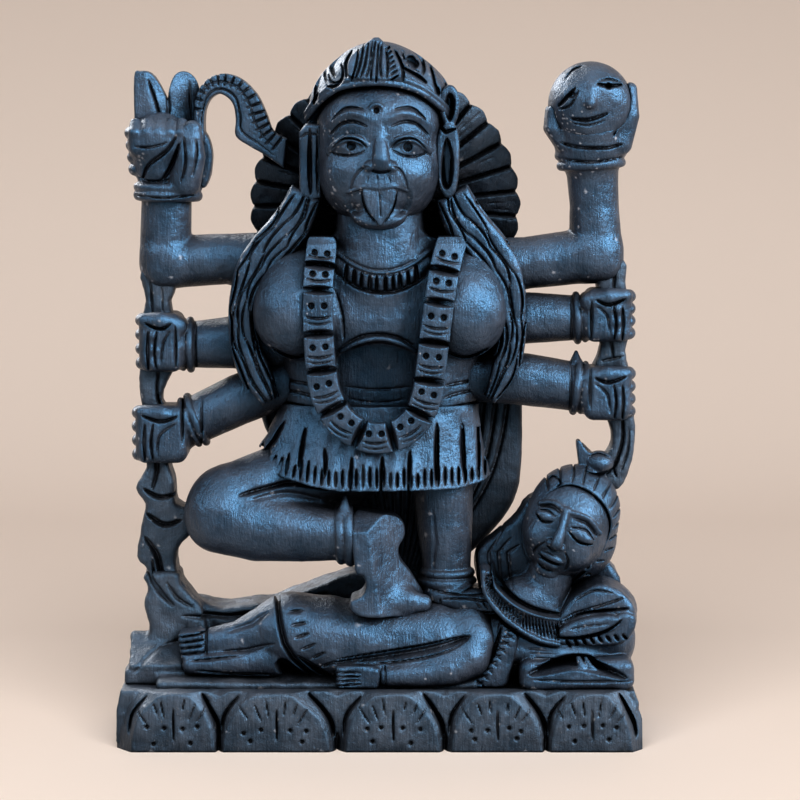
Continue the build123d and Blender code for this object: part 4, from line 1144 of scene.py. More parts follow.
def carve_side_hair(side, edges, seed):
    """A fall of thick cords with deep gaps between them, from the ear down to the waist."""
    name = "right" if side > 0 else "left"
    low_x, high_x = sorted((side * 11.0, side * 31.4))
    clay = Clay((low_x, -10.8, 66.2), (high_x, 7.5, 114.4), 0.21)
    inner, outer = (curve(edge, steps=5) for edge in edges)
    clay.add(plate([tuple(p) for p in inner] + [tuple(p) for p in reversed(outer)], -8.4, 6.5, 1.9))
    # staggered almond gaps leave long cords that part and meet again
    rng = np.random.default_rng(seed)
    count = len(inner)
    cuts = []
    for row in range(6):
        share = 0.06 + 0.176 * row
        start = 1 - 4 * (row % 2)
        while start < count - 3:
            span = rng.integers(7, 10)
            first, last = max(start, 0), min(start + span, count - 1)
            bow = 0.085 * (1 if (row + start) % 3 else -1)
            line = []
            for i in range(first, last + 1):
                here = np.clip(share + bow * math.sin(math.pi * (i - start) / span), 0.02, 0.98)
                line.append(inner[i] * (1 - here) + outer[i] * here)
            if len(line) > 2:
                cuts.append((line, 0.56 + 0.12 * rng.uniform(-1, 1), 1.0))
            start += span - 1
    clay.engrave(cuts, high=-1)
    sides = [([(y, 108), (y + 0.3, 96), (y, 84), (y + 0.4, 73)], 1.1, 0.8) for y in (-6.4, -3.4, -0.4, 2.8,
        5.4)]
    clay.engrave(sides, view="side", low=min(side * 21, side * 40), high=max(side * 21, side * 40))
    clay.roughen(0.07, 1.8, seed)
    return piece_of(clay, "hair_" + name + "_carved", ("hair_" + name,), adaptivity=0.003)


def carve_hair_back():
    low, high = node_box("hair_back")
    clay = Clay(low - 0.3, high + 0.4, 0.3)
    outline = curve(
        [(-25.0, 99.0), (-26.0, 84.0), (-24.5, 66.0), (-19.0, 54.0), (-11.0, 43.0), (-5.0, 34.0),
         (-3.8, 30.4), (10.2, 30.4), (18.4, 35.4), (24.0, 41.0), (27.8, 46.6), (29.2, 53.0), (29.4, 66.0),
         (28.4, 84.0), (26.3, 99.0)],
        closed=True, steps=3,
    )
    clay.add(plate(outline, low[1] + 0.1, high[1] - 0.4, 1.6))
    rng = np.random.default_rng(12)
    rear, front = [], []
    for i, s in enumerate(np.linspace(-1, 1, 21)):
        line = curve([(1 + s * 24, 98.5), (1.6 + s * 25 + rng.uniform(-0.5, 0.5), 82), (1.8 + s * 24.4, 66),
                      (3 + s * 20, 52), (3.6 + s * 13, 41), (3.4 + s * 7, 31)])
        rear.append((line, 1.7, 1.5))
        front.append((line, 1.2, 0.7))
    for s in np.linspace(-0.95, 0.95, 40):
        z0 = rng.uniform(50, 90)
        rear.append(([(1.6 + s * 24.6, z0), (1.8 + s * 24.2, z0 - rng.uniform(8, 16))], 0.6, 0.5))
    clay.engrave(rear, low=11)
    clay.engrave(front, high=10)
    clay.engrave([([(-26, 60), (-10, 57.5), (10, 57.5), (30, 60)], 1.0, 0.6)], low=11)
    clay.roughen(0.06, 2.4, 103)
    return piece_of(clay, "hair_back_carved", ("hair_back",), "ebony_ground", 0.005)


def carve_lying_head():
    """The lying figure's head, asleep and leaning; its features tilt further than its skull."""
    clay = Clay((27.4, -16.8, 29.5), (50.4, 3.5, 60.8), 0.17)
    centre = np.array((37.9, -6.3, 43.4))
    lean, tilt = turned("y", 18), turned("y", 27)

    def skin(x, z, out=0.0):
        """A point on the face, in axes that tilt with the features."""
        dome = math.sqrt(max(0.06, 1 - (x / 9.0) ** 2 - (z / 10.8) ** 2))
        return tuple(centre + tilt @ np.array((x, -8.3 * dome - out, z)))

    clay.add(ball(centre, (8.8, 8.3, 10.3), lean))
    for x, z, r in ((-4.6, -3.6, 2.6), (3.4, -3.6, 2.9)):
        clay.add(ball(skin(x, z, -1.9), (r, 2.4, r), tilt), 1.4)
    clay.add(tube([skin(-2.3, 3.4, 0.1), skin(-1.8, 0.2, 0.9), skin(-1.3, -3.0, 1.8)], [0.7, 0.85, 1.2]),
             0.7)
    for x in (-2.5, 0.0):
        clay.add(ball(skin(x, -3.5, 0.6), (0.85, 1.0, 0.75), tilt), 0.35)
    brows = (
        curve([skin(-7.4, 2.2, 0.1), skin(-5.3, 3.6, 0.1), skin(-2.8, 3.5, 0.1)]),
        curve([skin(-1.2, 3.6, 0.1), skin(2.2, 4.0, 0.1), skin(5.8, 2.4, 0.1)]),
    )
    for brow in brows:
        clay.add(tube(brow, 0.42), 0.5)
    clay.add(ball(skin(-5.4, 0.5, -0.9), (2.0, 1.5, 1.2), tilt), 0.4)
    clay.add(ball(skin(2.5, 0.3, -0.9), (2.8, 1.6, 1.3), tilt), 0.4)
    clay.add(ball(skin(-0.7, -6.2, -0.1), (2.6, 0.9, 0.7), tilt), 0.3)
    clay.add(ball(skin(-0.6, -7.7, -0.2), (2.2, 0.9, 0.7), tilt), 0.3)
    clay.add(ball(skin(0.2, -9.6, -1.2), (2.6, 1.7, 1.4), tilt), 0.9)

    def seen(*places):
        line = curve([skin(x, z) for x, z in places])
        return [(p[0], p[2]) for p in line]

    cuts = [
        (seen((-7.2, 0.1), (-5.4, -0.6), (-3.7, 0.3)), 0.6, 0.8),
        (seen((-0.3, 0.1), (2.6, -0.9), (5.4, -0.3)), 0.6, 0.9),
        (seen((-7.0, 1.0), (-5.4, 1.7), (-3.6, 1.3)), 0.45, 0.5),
        (seen((-0.4, 0.9), (2.6, 1.8), (5.3, 0.6)), 0.45, 0.5),
        (seen((-7.3, 1.7), (-5.2, 2.8), (-3.1, 2.6)), 0.9, 0.6),
        (seen((-0.7, 2.7), (2.3, 3.0), (5.4, 1.5)), 0.9, 0.6),
        (seen((-3.3, -6.8), (-0.7, -7.1), (2.0, -6.9)), 0.5, 0.9),
        (seen((-2.2, -8.8), (-0.5, -9.0), (1.4, -8.8)), 0.6, 0.5),
        (seen((-3.1, -3.9), (-4.1, -5.6), (-3.9, -7.6)), 0.6, 0.5),
        (seen((0.9, -3.9), (2.6, -5.4), (3.2, -7.6)), 0.6, 0.5),
        (seen((-2.6, -4.4), (-1.2, -4.8), (0.2, -4.4)), 0.5, 0.5),
    ]
    clay.engrave(cuts, high=-6)
    clay.add(hoop((41.6, -9.4, 35.9), (0.3, 1, 0), 0.9, 0.3), 0.1)
    clay.roughen(0.07, 2.2, 111).roughen(0.03, 0.7, 112)
    piece_of(clay, "lying_head_carved", ("lying_head",), adaptivity=0.001)

    # combed cap of hair with its thick rim, the bun and its pointed end
    clay = Clay((27.6, -16.6, 32.6), (50.8, 4.2, 61.4), 0.18)
    clay.add(ball((39.2, -5.2, 45.4), (9.3, 8.4, 10.5), lean))
    clay.add(ball((38.4, -4.4, 41.0), (9.6, 6.6, 9.4), lean), 1.0)
    hairline = curve([(29.6, 44.4), (31.6, 48.2), (35.3, 51.4), (38.5, 52.3), (41.5, 51.4), (44.2, 49.2),
                      (45.9, 46.4), (46.2, 43.4), (45.0, 40.0), (43.2, 37.0), (40.0, 33.0), (34.0, 30.0),
                      (28.0, 34.0), (27.4, 40.0)],
                     closed=True, steps=3)
    clay.cut(plate(hairline, -25, -5.2, 0.1), 0.5)
    clay.add(ball((44.3, -4.4, 56.0), (2.9, 3.8, 2.4)), 0.7)
    tip = curve([(40.6, 55.0), (40.0, 57.6), (39.7, 60.3), (40.5, 60.5), (41.6, 58.7), (43.2, 57.6),
                 (43.6, 55.4)],
                closed=True, steps=3)
    clay.add(plate(tip, -6.2, -3.0, 0.4), 0.4)
    bun = np.array((43.6, 56.2))
    combed = []
    for k, i in enumerate(range(5, 30, 2)):
        p = np.array(hairline[i])
        outward = p - np.array((38.2, 43.6))
        outward /= np.linalg.norm(outward)
        end = p + outward * 3.4 + (bun - p) * 0.12
        combed.append((curve([p + outward * 0.5, (p + end) / 2 + (0.15 * (-1) ** k, 0), end]), 0.6, 0.5))
    clay.engrave(combed, high=-1)
    clay.engrave([(curve([(41.4, 54.6), (44.2, 53.9), (47.0, 55.0)]), 0.8, 0.7),
                  (curve([(42.0, 57.4), (44.4, 57.9), (46.6, 57.0)]), 0.5, 0.4),
                  (curve([(33.4, 52.0), (35.0, 53.6), (36.4, 52.6), (35.4, 51.8)]), 0.5, 0.6)], high=-1)
    back = [([(x, 36), (x + 1.5, 46), (43.4 + 0.3 * (x - 39), 54.6)], 1.0, 0.6) for x in np.arange(30.5, 49,
        2.2)]
    clay.engrave(back, low=-3)
    clay.roughen(0.06, 1.8, 113)
    piece_of(clay, "lying_hair_carved", ("lying_hair",), adaptivity=0.003)


# ---------------------------------------------------------------- arms and hands


def carve_upper_left():
    """Raised arm with its bracelet and the fist that holds the bud and the curved blade."""
    clay = Clay((-50.8, -7.6, 89.6), (-19.5, 8.4, 127.0), 0.22)
    clay.add(tube([(-20.0, 2.0, 95.4), (-30.0, 2.0, 96.4), (-42.0, 2.0, 95.8)], [6.4, 5.1, 5.3]), 0.4)
    clay.add(tube([(-42.6, 1.8, 95.8), (-42.2, 1.4, 109.0)], [5.2, 5.0]), 0.6)
    clay.add(block((-42.2, 1.2, 96.0), (5.1, 5.0, 5.2), 4.2), 1.0)
    clay.add(hoop((-41.9, 1.0, 109.2), (0.02, 0, 1), 5.8, 1.15), 0.3)
    clay.add(hoop((-41.9, 1.0, 110.8), (0.02, 0, 1), 6.0, 0.9), 0.3)
    # palm widening upwards, knuckles along the top, thumb in front
    clay.add(tube([(-42.4, 0.8, 111.0), (-43.0, 0.6, 115.0), (-43.4, 0.2, 119.6)], [4.6, 5.6, 6.2]), 0.6)
    clay.add(block((-42.6, -0.6, 120.0), (6.6, 5.0, 2.9), 1.6), 1.4)
    clay.add(tube([(-38.2, -3.6, 112.0), (-37.0, -4.4, 117.0), (-36.6, -4.6, 122.4)], [3.2, 3.0, 1.8]), 0.8)
    for i in range(5):
        x = -48.2 + 2.3 * i
        clay.add(tube([(x, -3.6, 119.6), (x + 0.2, -4.8, 121.8), (x + 0.3, -3.2, 123.4)], 1.22), 0.25)
    for i in range(4):
        z = 114.4 + 2.4 * i
        clay.add(ball((-48.2 - 0.25 * i, 1.4, z), (1.6, 3.4, 1.4)), 0.3)
    cuts = [
        (curve([(-46.6, 112.2), (-45.4, 115.2), (-41.6, 118.2), (-39.6, 121.2)]), 1.0, 1.1),
        (curve([(-43.0, 111.8), (-40.6, 115.4), (-39.0, 119.8)]), 1.0, 1.1),
        (curve([(-38.8, 111.8), (-37.8, 116.0), (-38.2, 121.0)]), 0.8, 0.8),
        (curve([(-48.2, 119.0), (-44.8, 118.9), (-41.4, 119.8)]), 0.6, 0.6),
        (curve([(-36.6, 113.0), (-35.6, 117.4), (-35.8, 120.6)]), 0.7, 0.6),
        (curve([(-47.6, 113.0), (-45.0, 112.0), (-41.0, 112.4)]), 0.7, 0.5),
        (curve([(-49.0, 109.4), (-42.0, 108.9), (-35.4, 109.6)]), 0.6, 0.6),
    ]
    clay.engrave(cuts, high=-1)
    clay.engrave([([(x, 112.8), (x - 0.4, 122.6)], 1.0, 0.9) for x in (-45.4, -42.2, -39.0)], low=2.6)
    clay.roughen(0.05, 2.6, 121).roughen(0.02, 0.8, 122)
    piece_of(clay, "arm_upper_left_carved", ("arm_upper_left", "bracelet_upper_left", "hand_upper_left"),
             adaptivity=0.002)

    # two broad leaves of the bud above the fist
    clay = Clay((-49.4, -2.0, 119.0), (-34.4, 6.4, 134.8), 0.19)
    leaf = curve([(-48.3, 121.0), (-48.4, 132.6), (-47.2, 133.9), (-45.0, 133.4), (-42.9, 130.4),
                  (-41.6, 126.8), (-41.2, 121.0)], steps=4)
    clay.add(plate(leaf, -0.8, 5.0, 0.5))
    leaf = curve([(-42.6, 121.0), (-41.7, 129.6), (-40.4, 133.2), (-38.2, 133.8), (-36.2, 132.0),
                  (-35.4, 128.0), (-35.6, 121.0)], steps=4)
    clay.add(plate(leaf, -1.4, 4.6, 0.5), 0.15)
    clay.cut(half_space((-45.4, -0.9, 128), (-0.42, 0.9, -0.08)), 0.2)
    clay.engrave(
        [
            (curve([(-45.6, 132.2), (-44.2, 128.0), (-43.0, 123.6)]), 0.7, 0.8),
            (curve([(-42.0, 130.2), (-41.6, 126.8), (-42.0, 123.0)]), 0.9, 1.3),
            (curve([(-38.0, 132.6), (-39.0, 128.4), (-40.0, 124.0)]), 0.6, 0.6),
            (curve([(-36.8, 131.4), (-37.6, 127.6), (-37.8, 123.6)]), 0.6, 0.7),
            (curve([(-44.2, 127.0), (-43.0, 125.0), (-41.4, 124.4)]), 0.6, 0.5),
            (curve([(-40.4, 130.8), (-39.6, 127.0), (-38.6, 125.0)]), 0.5, 0.5),
        ],
        high=1.6,
    )
    clay.engrave([([(x, 122), (x - 0.4, 132)], 0.8, 0.5) for x in (-46.0, -43.6, -39.4, -37.2)], low=2.6)
    clay.roughen(0.04, 1.8, 123)
    piece_of(clay, "bud_carved", ("held_bud",))

    # sickle blade: a ribbed arch that runs down to the halo
    clay = Clay((-39.4, -4.0, 104.4), (-17.6, 7.8, 134.6), 0.19)
    outer = [(-36.6, 120.6), (-36.4, 127.6), (-34.6, 131.6), (-31.0, 133.4), (-27.2, 132.4), (-24.0, 129.2),
             (-22.2, 125.4), (-20.8, 122.0), (-18.0, 120.4)]
    inner = [(-18.6, 114.6), (-22.4, 117.2), (-25.2, 118.8), (-28.2, 121.0), (-28.2, 124.4), (-28.9, 127.6),
             (-31.2, 129.4), (-33.4, 128.2), (-34.5, 125.0), (-34.4, 119.6)]
    arch = curve(outer, steps=4) + curve(inner, steps=4)
    clay.add(plate(arch, -0.8, 6.8, 0.5))
    stem = curve([(-36.8, 121.6), (-34.4, 121.8), (-33.0, 118.0), (-33.4, 113.2), (-34.8, 110.6),
                  (-36.6, 113.0)], closed=True, steps=4)
    clay.add(plate(stem, -0.2, 5.4, 0.8), 0.3)
    spine = np.array(curve([(-36.0, 122.0), (-35.6, 127.4), (-34.0, 130.8), (-31.0, 131.8), (-27.8, 130.6),
                            (-25.6, 127.6), (-24.4, 123.8), (-22.4, 120.4), (-19.6, 118.0)], steps=5))
    cuts = []
    for i in range(4, len(spine) - 2, 2):
        ahead = spine[i + 1] - spine[i - 1]
        ahead /= np.linalg.norm(ahead)
        across = np.array((-ahead[1], ahead[0]))
        far = 1.8 if i < 20 else 3.0
        cuts.append(([spine[i] - across * 0.9, spine[i] + across * far], 0.62, 0.8))
    cuts.append(([tuple(p) for p in spine[2:]], 0.6, 0.5))
    lip = curve([(-35.2, 121), (-34.9, 125.4), (-33.6, 129.2), (-31.1, 130.4), (-28.3, 128.8),
                 (-27.3, 125.0), (-27.0, 122.0), (-23.8, 119.6), (-20.0, 116.6)], steps=4)
    cuts.append((lip, 0.55, 0.6))
    clay.engrave(cuts, high=2.6)
    clay.roughen(0.05, 1.6, 124)
    piece_of(clay, "blade_carved", ("blade",))


def carve_upper_right():
    """Raised arm with its bracelet and the open hand that carries a small round head."""
    clay = Clay((20.5, -8.4, 89.0), (52.0, 8.6, 134.6), 0.24)
    clay.add(tube([(20.5, 2.0, 94.4), (30.0, 2.0, 95.6), (43.0, 2.0, 97.2)], [6.2, 5.2, 5.6]), 0.4)
    clay.add(tube([(43.8, 1.8, 97.4), (43.4, 1.4, 107.0), (42.9, 1.2, 115.0)], [5.4, 4.9, 5.2]), 0.6)
    clay.add(block((43.7, 1.2, 97.2), (5.4, 5.0, 5.4), 4.2), 1.0)
    clay.add(hoop((42.7, 1.0, 115.4), (-0.06, 0, 1), 6.0, 0.95), 0.25)
    clay.add(hoop((42.6, 1.0, 117.4), (-0.06, 0, 1), 6.3, 0.95), 0.25)
    # cupped palm with the fingers folded round the left and behind, thumb upright on the right
    clay.add(tube([(42.6, 0.6, 117.6), (42.6, 0.4, 120.2), (42.5, 0.2, 123.4)], [6.3, 7.4, 8.2]), 0.6)
    clay.add(tube([(48.2, -3.0, 119.6), (49.9, -3.4, 125.0), (50.0, -3.0, 130.2)], [2.4, 2.0, 1.5]), 0.7)
    for i in range(4):
        y = -4.2 + 3.2 * i
        clay.add(tube([(37.0, y * 0.8 + 0.4, 119.6), (34.9, y, 122.6), (34.8, y, 126.0)], [1.7, 1.6, 1.2]),
                 0.35)
    clay.cut(ball((42.3, -1.6, 127.6), (8.3, 8.3, 8.3)), 0.3)
    clay.engrave(
        [
            (curve([(35.4, 125.4), (38.4, 124.2), (42.4, 123.4), (46.4, 123.8), (49.0, 125.0)]), 0.5, 0.6),
            (curve([(36.2, 119.8), (40.0, 118.9), (45.2, 118.8), (48.6, 119.6)]), 0.9, 0.9),
            (curve([(36.4, 116.6), (42.6, 116.0), (48.8, 117.0)]), 0.6, 0.5),
            (curve([(46.6, 121.0), (47.6, 124.6), (48.4, 129.0)]), 0.7, 0.7),
        ],
        high=0,
    )
    clay.engrave([([(x, 118.4), (x + 0.3, 126.4)], 1.0, 0.8) for x in (38.4, 41.4, 44.4, 47.2)], low=3)
    clay.roughen(0.05, 2.8, 131).roughen(0.02, 0.8, 132)
    piece_of(clay, "arm_upper_right_carved", ("arm_upper_right", "bracelet_upper_right",
                                              "hand_upper_right"), adaptivity=0.002)

    clay = Clay((33.6, -11.0, 118.4), (51.0, 7.6, 136.6), 0.19)
    clay.add(ball((42.3, -1.5, 127.3), (8.4, 8.3, 8.5)))
    clay.cut(half_space((42.3, -8.8, 125.0), (-0.25, 1.0, 0.15)), 1.2)
    nose = tube([(42.0, -8.6, 130.2), (41.8, -9.4, 127.6)], [0.7, 1.1])
    clay.add(nose, 0.9)
    cuts = [
        (curve([(35.6, 126.8), (37.2, 128.6), (39.0, 130.6)]), 0.9, 1.2),
        (curve([(35.8, 126.4), (38.0, 127.2), (39.6, 130.2)]), 0.6, 0.7),
        (curve([(43.0, 131.4), (45.4, 130.9), (48.4, 131.2)]), 0.9, 1.1),
        (curve([(43.2, 131.8), (45.6, 132.3), (48.0, 131.6)]), 0.5, 0.5),
        (curve([(37.2, 132.4), (38.6, 134.0), (40.4, 134.8)]), 0.6, 0.5),
        (curve([(38.0, 124.6), (41.4, 124.3), (45.4, 125.6)]), 1.0, 1.0),
        (curve([(38.6, 123.6), (41.6, 123.3), (44.8, 124.2)]), 0.5, 0.5),
    ]
    clay.engrave(cuts, high=0)
    clay.dots([(38.3, 129.2), (45.4, 130.9)], 0.6, 1.1, high=0)
    clay.engrave([([(x, 123), (x * 0.9 + 4.23, 134)], 0.8, 0.6) for x in np.linspace(36.6, 48.4, 8)], low=1)
    clay.roughen(0.04, 2.0, 133)
    piece_of(clay, "held_head_carved", ("held_head",))


def carve_fist_arm(name, shoulder, wrist, radii, centre, half, ring_radius, seed, point=0):
    """A level arm that ends in a ring and a fist round an upright post."""
    side = 1 if centre[0] > 0 else -1
    low_x, high_x = sorted((shoulder[0] - side * 1.0, centre[0] + side * (half[0] + 1.4)))
    reach = max(half[2] + 1.8, ring_radius + 1.6, max(radii) + 1.5)
    zs = (shoulder[2], centre[2], wrist[2])
    clay = Clay((low_x, -8.6, min(zs) - reach), (high_x, 8.0, max(zs) + reach), 0.22)
    shoulder, wrist, centre = (np.array(p, float) for p in (shoulder, wrist, centre))
    middle = (shoulder + wrist) / 2 + np.array((0, 0, 0.4))
    clay.add(tube([shoulder, middle, wrist], [radii[0], (radii[0] + radii[1]) / 2 + 0.2, radii[1]]), 0.4)
    clay.add(tube([wrist, centre - np.array((side * 2.0, 0, 0))], [radii[1] - 0.6, radii[1] - 0.1]), 0.5)
    along = wrist - shoulder
    clay.add(hoop(wrist, along, ring_radius - 0.7, 0.75), 0.2)
    clay.add(hoop(wrist + along / np.linalg.norm(along) * 1.5, along, ring_radius - 0.9, 0.6), 0.2)
    if point:
        clay.add(tube([wrist + np.array((0, -1, ring_radius - 0.6)),
                       wrist + np.array((0, -0.6, ring_radius + 1.3))], [1.3, 0.4]), 0.4)
    clay.add(block(centre, (half[0], half[1], half[2]), 2.2), 0.8)
    outer = centre[0] + side * half[0]
    # thumb across the top, four knuckles down the outside, fingertips in front
    thumb = [
        (wrist[0] + side * 2.4, -3.4, centre[2] + half[2] - 2.6),
        (centre[0], -half[1] + 1.0, centre[2] + half[2] - 1.6),
        (outer - side * 1.4, -half[1] + 1.4, centre[2] + half[2] - 1.4),
    ]
    clay.add(tube(thumb, [2.0, 1.9, 1.5]), 0.35)
    for i in range(4):
        z = centre[2] + half[2] - 1.6 - (2 * half[2] - 3.2) * i / 3
        clay.add(ball((outer - side * 0.5, centre[1] - 0.6, z), (1.5, 3.8, 1.35)), 0.2)
        clay.add(tube([(outer - side * 1.2, -3.0, z), (outer - side * 3.0, -half[1] + 1.0, z)],
                      [1.3, 1.25]), 0.3)
    z0, z1 = centre[2] - half[2] + 0.4, centre[2] + half[2] - 3.4
    cuts = [
        (curve([(outer - side * 2.0, z0), (outer - side * 1.8, (z0 + z1) / 2), (outer - side * 2.0, z1)]),
         0.8, 1.0),
        (curve([(outer - side * 3.6, z0), (outer - side * 3.2, (z0 + z1) / 2), (outer - side * 3.7, z1)]),
         0.7, 0.9),
        (curve([(outer - side * 1.2, z1 + 1.6), (centre[0], z1 + 0.4), (wrist[0] + side * 3.4, z1 + 1.4)]),
         0.9, 1.1),
        (curve([(outer - side * 4.4, z0 + 1.0), (outer - side * 5.0, centre[2]),
                (wrist[0] + side * 3.6, z1)]), 0.7, 0.6),
        ([(wrist[0] + side * 2.6, wrist[2] - ring_radius + 1.4),
          (wrist[0] + side * 2.6, wrist[2] + ring_radius - 1.4)], 0.8, 0.7),
        ([(wrist[0] - side * 1.2, wrist[2] - ring_radius + 0.6),
          (wrist[0] - side * 1.2, wrist[2] + ring_radius - 0.6)], 0.7, 0.6),
    ]
    clay.engrave(cuts, high=0)
    clay.engrave([([(outer - side * 0.4, z), (outer - side * 6.0, z)], 0.9,
                   0.8) for z in np.linspace(z0 + 2, z1 + 0.6, 3)], low=2)
    clay.roughen(0.05, 2.6, seed).roughen(0.02, 0.8, seed + 1)
    piece_of(clay, name + "_carved", (name, name.replace("arm", "hand")), adaptivity=0.005)


def carve_posts():
    def post(node, outline, front, back, seed, cuts=(), smooth=3):
        line = curve(outline, closed=True, steps=smooth) if smooth else outline
        xs, zs = [p[0] for p in line], [p[1] for p in line]
        clay = Clay((min(xs) - 0.6, front - 0.4, min(zs) - 0.6), (max(xs) + 0.6, back + 0.4, max(zs) + 0.6),
                    0.22)
        clay.add(plate(line, front, back, 1.3))
        if cuts:
            clay.engrave(list(cuts), high=(front + back) / 2)
        clay.roughen(0.14, 2.0, seed).roughen(0.05, 0.8, seed + 1)
        piece_of(clay, node + "_carved", (node,), "ebony_ground", 0.004)

    post("post_upper_left", [(-47.2, 94.4), (-46.4, 88.0), (-47.2, 83.4), (-41.2, 83.2), (-41.6, 88.0),
                             (-39.8, 93.6)], -1.5, 5.5, 141,
         [([(-45.4, 92), (-45.0, 85)], 0.8, 0.7), ([(-43.2, 91), (-43.0, 86)], 0.6, 0.5)])
    post("post_middle_left", [(-47.4, 76.0), (-46.8, 65.0), (-41.4, 65.0), (-43.4, 68.0), (-42.8, 71.0),
                              (-40.6, 76.0)], -1.5, 5.0, 143,
         [(curve([(-43.9, 74.6), (-44.3, 70.0), (-43.6, 67.0), (-41.4, 66.4)]), 0.9, 0.9)])
    post(
        "post_lower_left",
        [(-46.6, 60.0), (-46.6, 54.6), (-48.6, 50.4), (-46.9, 47.2), (-47.6, 43.2), (-48.6, 36.4),
         (-46.4, 33.4), (-46.6, 28.4), (-46.0, 24.4), (-39.6, 24.4), (-38.6, 29.4), (-40.2, 32.6),
         (-40.6, 37.4), (-37.0, 42.2), (-36.6, 45.6), (-40.6, 47.4), (-41.0, 51.4), (-42.2, 56.0),
         (-41.6, 60.0)],
        -2.0, 7.0, 145,
        [
            (curve([(-44.6, 59), (-44.4, 54), (-45.4, 50)]), 1.2, 1.0),
            (curve([(-47.2, 50.4), (-44.0, 48.6), (-40.4, 49.2)]), 1.3, 1.2),
            (curve([(-46.6, 45.4), (-43.0, 43.0), (-39.4, 44.0)]), 1.4, 1.3),
            (curve([(-47.0, 40.6), (-44.6, 37.0), (-43.6, 33.0), (-41.4, 29.4)]), 1.6, 1.4),
            (curve([(-45.4, 36.0), (-45.0, 32.6), (-43.0, 30.0)]), 0.8, 0.9),
        ],
    )
    post("post_upper_right", [(41.4, 95.2), (43.9, 91.4), (44.4, 88.6), (49.6, 88.2), (49.6, 92.0),
                              (49.2, 96.4)], -1.5, 5.5, 147,
         [([(47.4, 94.6), (47.2, 89.6)], 0.8, 0.7)])
    post("post_middle_right", [(43.0, 82.0), (44.8, 79.4), (43.4, 73.2), (50.2, 73.2), (49.6, 78.0),
                               (50.2, 82.0)], -1.5, 5.0, 149,
         [([(46.8, 81), (47.2, 76)], 0.7, 0.6), ([(44.6, 76.0), (49.4, 77.0)], 0.7, 0.6)])
    post(
        "post_lower_right",
        [(45.4, 67.4), (47.0, 62.0), (46.8, 58.6), (44.2, 56.6), (41.4, 59.2), (41.0, 57.0), (41.6, 53.0),
         (44.0, 50.4), (48.4, 50.4), (50.8, 54.6), (51.6, 60.0), (51.0, 67.4)],
        -2.5, 4.5, 151,
        [
            (curve([(48.8, 66.6), (49.2, 60.4), (47.4, 55.0), (44.6, 53.0)]), 1.0, 1.0),
            (curve([(43.0, 57.4), (46.0, 56.4), (48.0, 52.6)]), 0.8, 0.8),
            (curve([(50.4, 63.0), (50.2, 58.0), (48.8, 54.0)]), 0.7, 0.6),
        ],
    )


# ---------------------------------------------------------------- carve everything

carve_base()
carve_bank()
carve_lying_body()
carve_lying_shoulders()
carve_lying_head()
carve_bent_leg()
carve_bent_foot()
carve_standing_leg()
carve_skirt()
carve_torso()
carve_garland()
carve_head()
carve_ears()
carve_crown()
carve_halo()
carve_side_hair(-1, LEFT_EDGES, 101)
carve_side_hair(1, RIGHT_EDGES, 102)
carve_hair_back()
carve_upper_left()
carve_upper_right()
carve_fist_arm("arm_middle_left", (-20.0, 1.0, 79.4), (-37.6, 1.0, 79.2), (5.6, 4.6), (-43.2, 0.2, 80.0),
               (4.4, 5.8, 5.9), 5.6, 161)
carve_fist_arm("arm_lower_left", (-19.0, 0.0, 71.6), (-36.4, 0.0, 64.2), (5.0, 4.8), (-43.2, -0.4, 61.6),
               (5.2, 5.6, 5.8), 5.7, 163)
carve_fist_arm("arm_middle_right", (20.5, 1.0, 83.8), (40.0, 1.0, 84.6), (5.4, 4.5), (46.0, 0.2, 85.4),
               (4.7, 5.4, 5.3), 5.3, 165)
carve_fist_arm("arm_lower_right", (19.5, 0.0, 73.0), (39.8, 0.0, 70.8), (5.2, 4.9), (46.0, -0.4, 69.8),
               (4.8, 5.5, 5.4), 5.7, 167, 1)
carve_posts()


# ---------------------------------------------------------------- ebony


def node(tree, kind, at=None, **values):
    made = tree.nodes.new(kind)
    for key, value in values.items():
        setattr(made, key, value)
    return made


def noise(tree, vector, scale, detail, roughness=0.5):
    """Noise in object space, from 0 to 1."""
    made = node(tree, "ShaderNodeTexNoise")
    made.inputs["Scale"].default_value = scale
    made.inputs["Detail"].default_value = detail
    made.inputs["Roughness"].default_value = roughness
    tree.links.new(vector, made.inputs["Vector"])
    return made.outputs["Fac"]


def remap(tree, value, low, high, to_low=0.0, to_high=1.0):
    """A value stretched from one range to another and clamped."""
    made = node(tree, "ShaderNodeMapRange")
    for socket, number in zip(("From Min", "From Max", "To Min", "To Max"), (low, high, to_low, to_high)):
        made.inputs[socket].default_value = number
    tree.links.new(value, made.inputs["Value"])
    return made.outputs["Result"]


def blend_colour(tree, factor, under, over):
    """The colour under, covered by a fixed colour where the factor is 1."""
    made = node(tree, "ShaderNodeMix", data_type="RGBA")
    tree.links.new(factor, made.inputs["Factor"])
    tree.links.new(under, made.inputs["A"])
    made.inputs["B"].default_value = (*over, 1)
    return made.outputs["Result"]


def maths(tree, operation, *values):
    """One maths node; each value is a number or another node's output."""
    made = node(tree, "ShaderNodeMath", operation=operation)
    for i, value in enumerate(values):
        if isinstance(value, (int, float)):
            made.inputs[i].default_value = value
        else:
            tree.links.new(value, made.inputs[i])
    return made.outputs[0]


def bumped(tree, height, strength, distance, normal=None):
    """A bump on top of another normal."""
    made = node(tree, "ShaderNodeBump")
    made.inputs["Strength"].default_value = strength
    made.inputs["Distance"].default_value = distance
    tree.links.new(height, made.inputs["Height"])
    if normal is not None:
        tree.links.new(normal, made.inputs["Normal"])
    return made.outputs["Normal"]


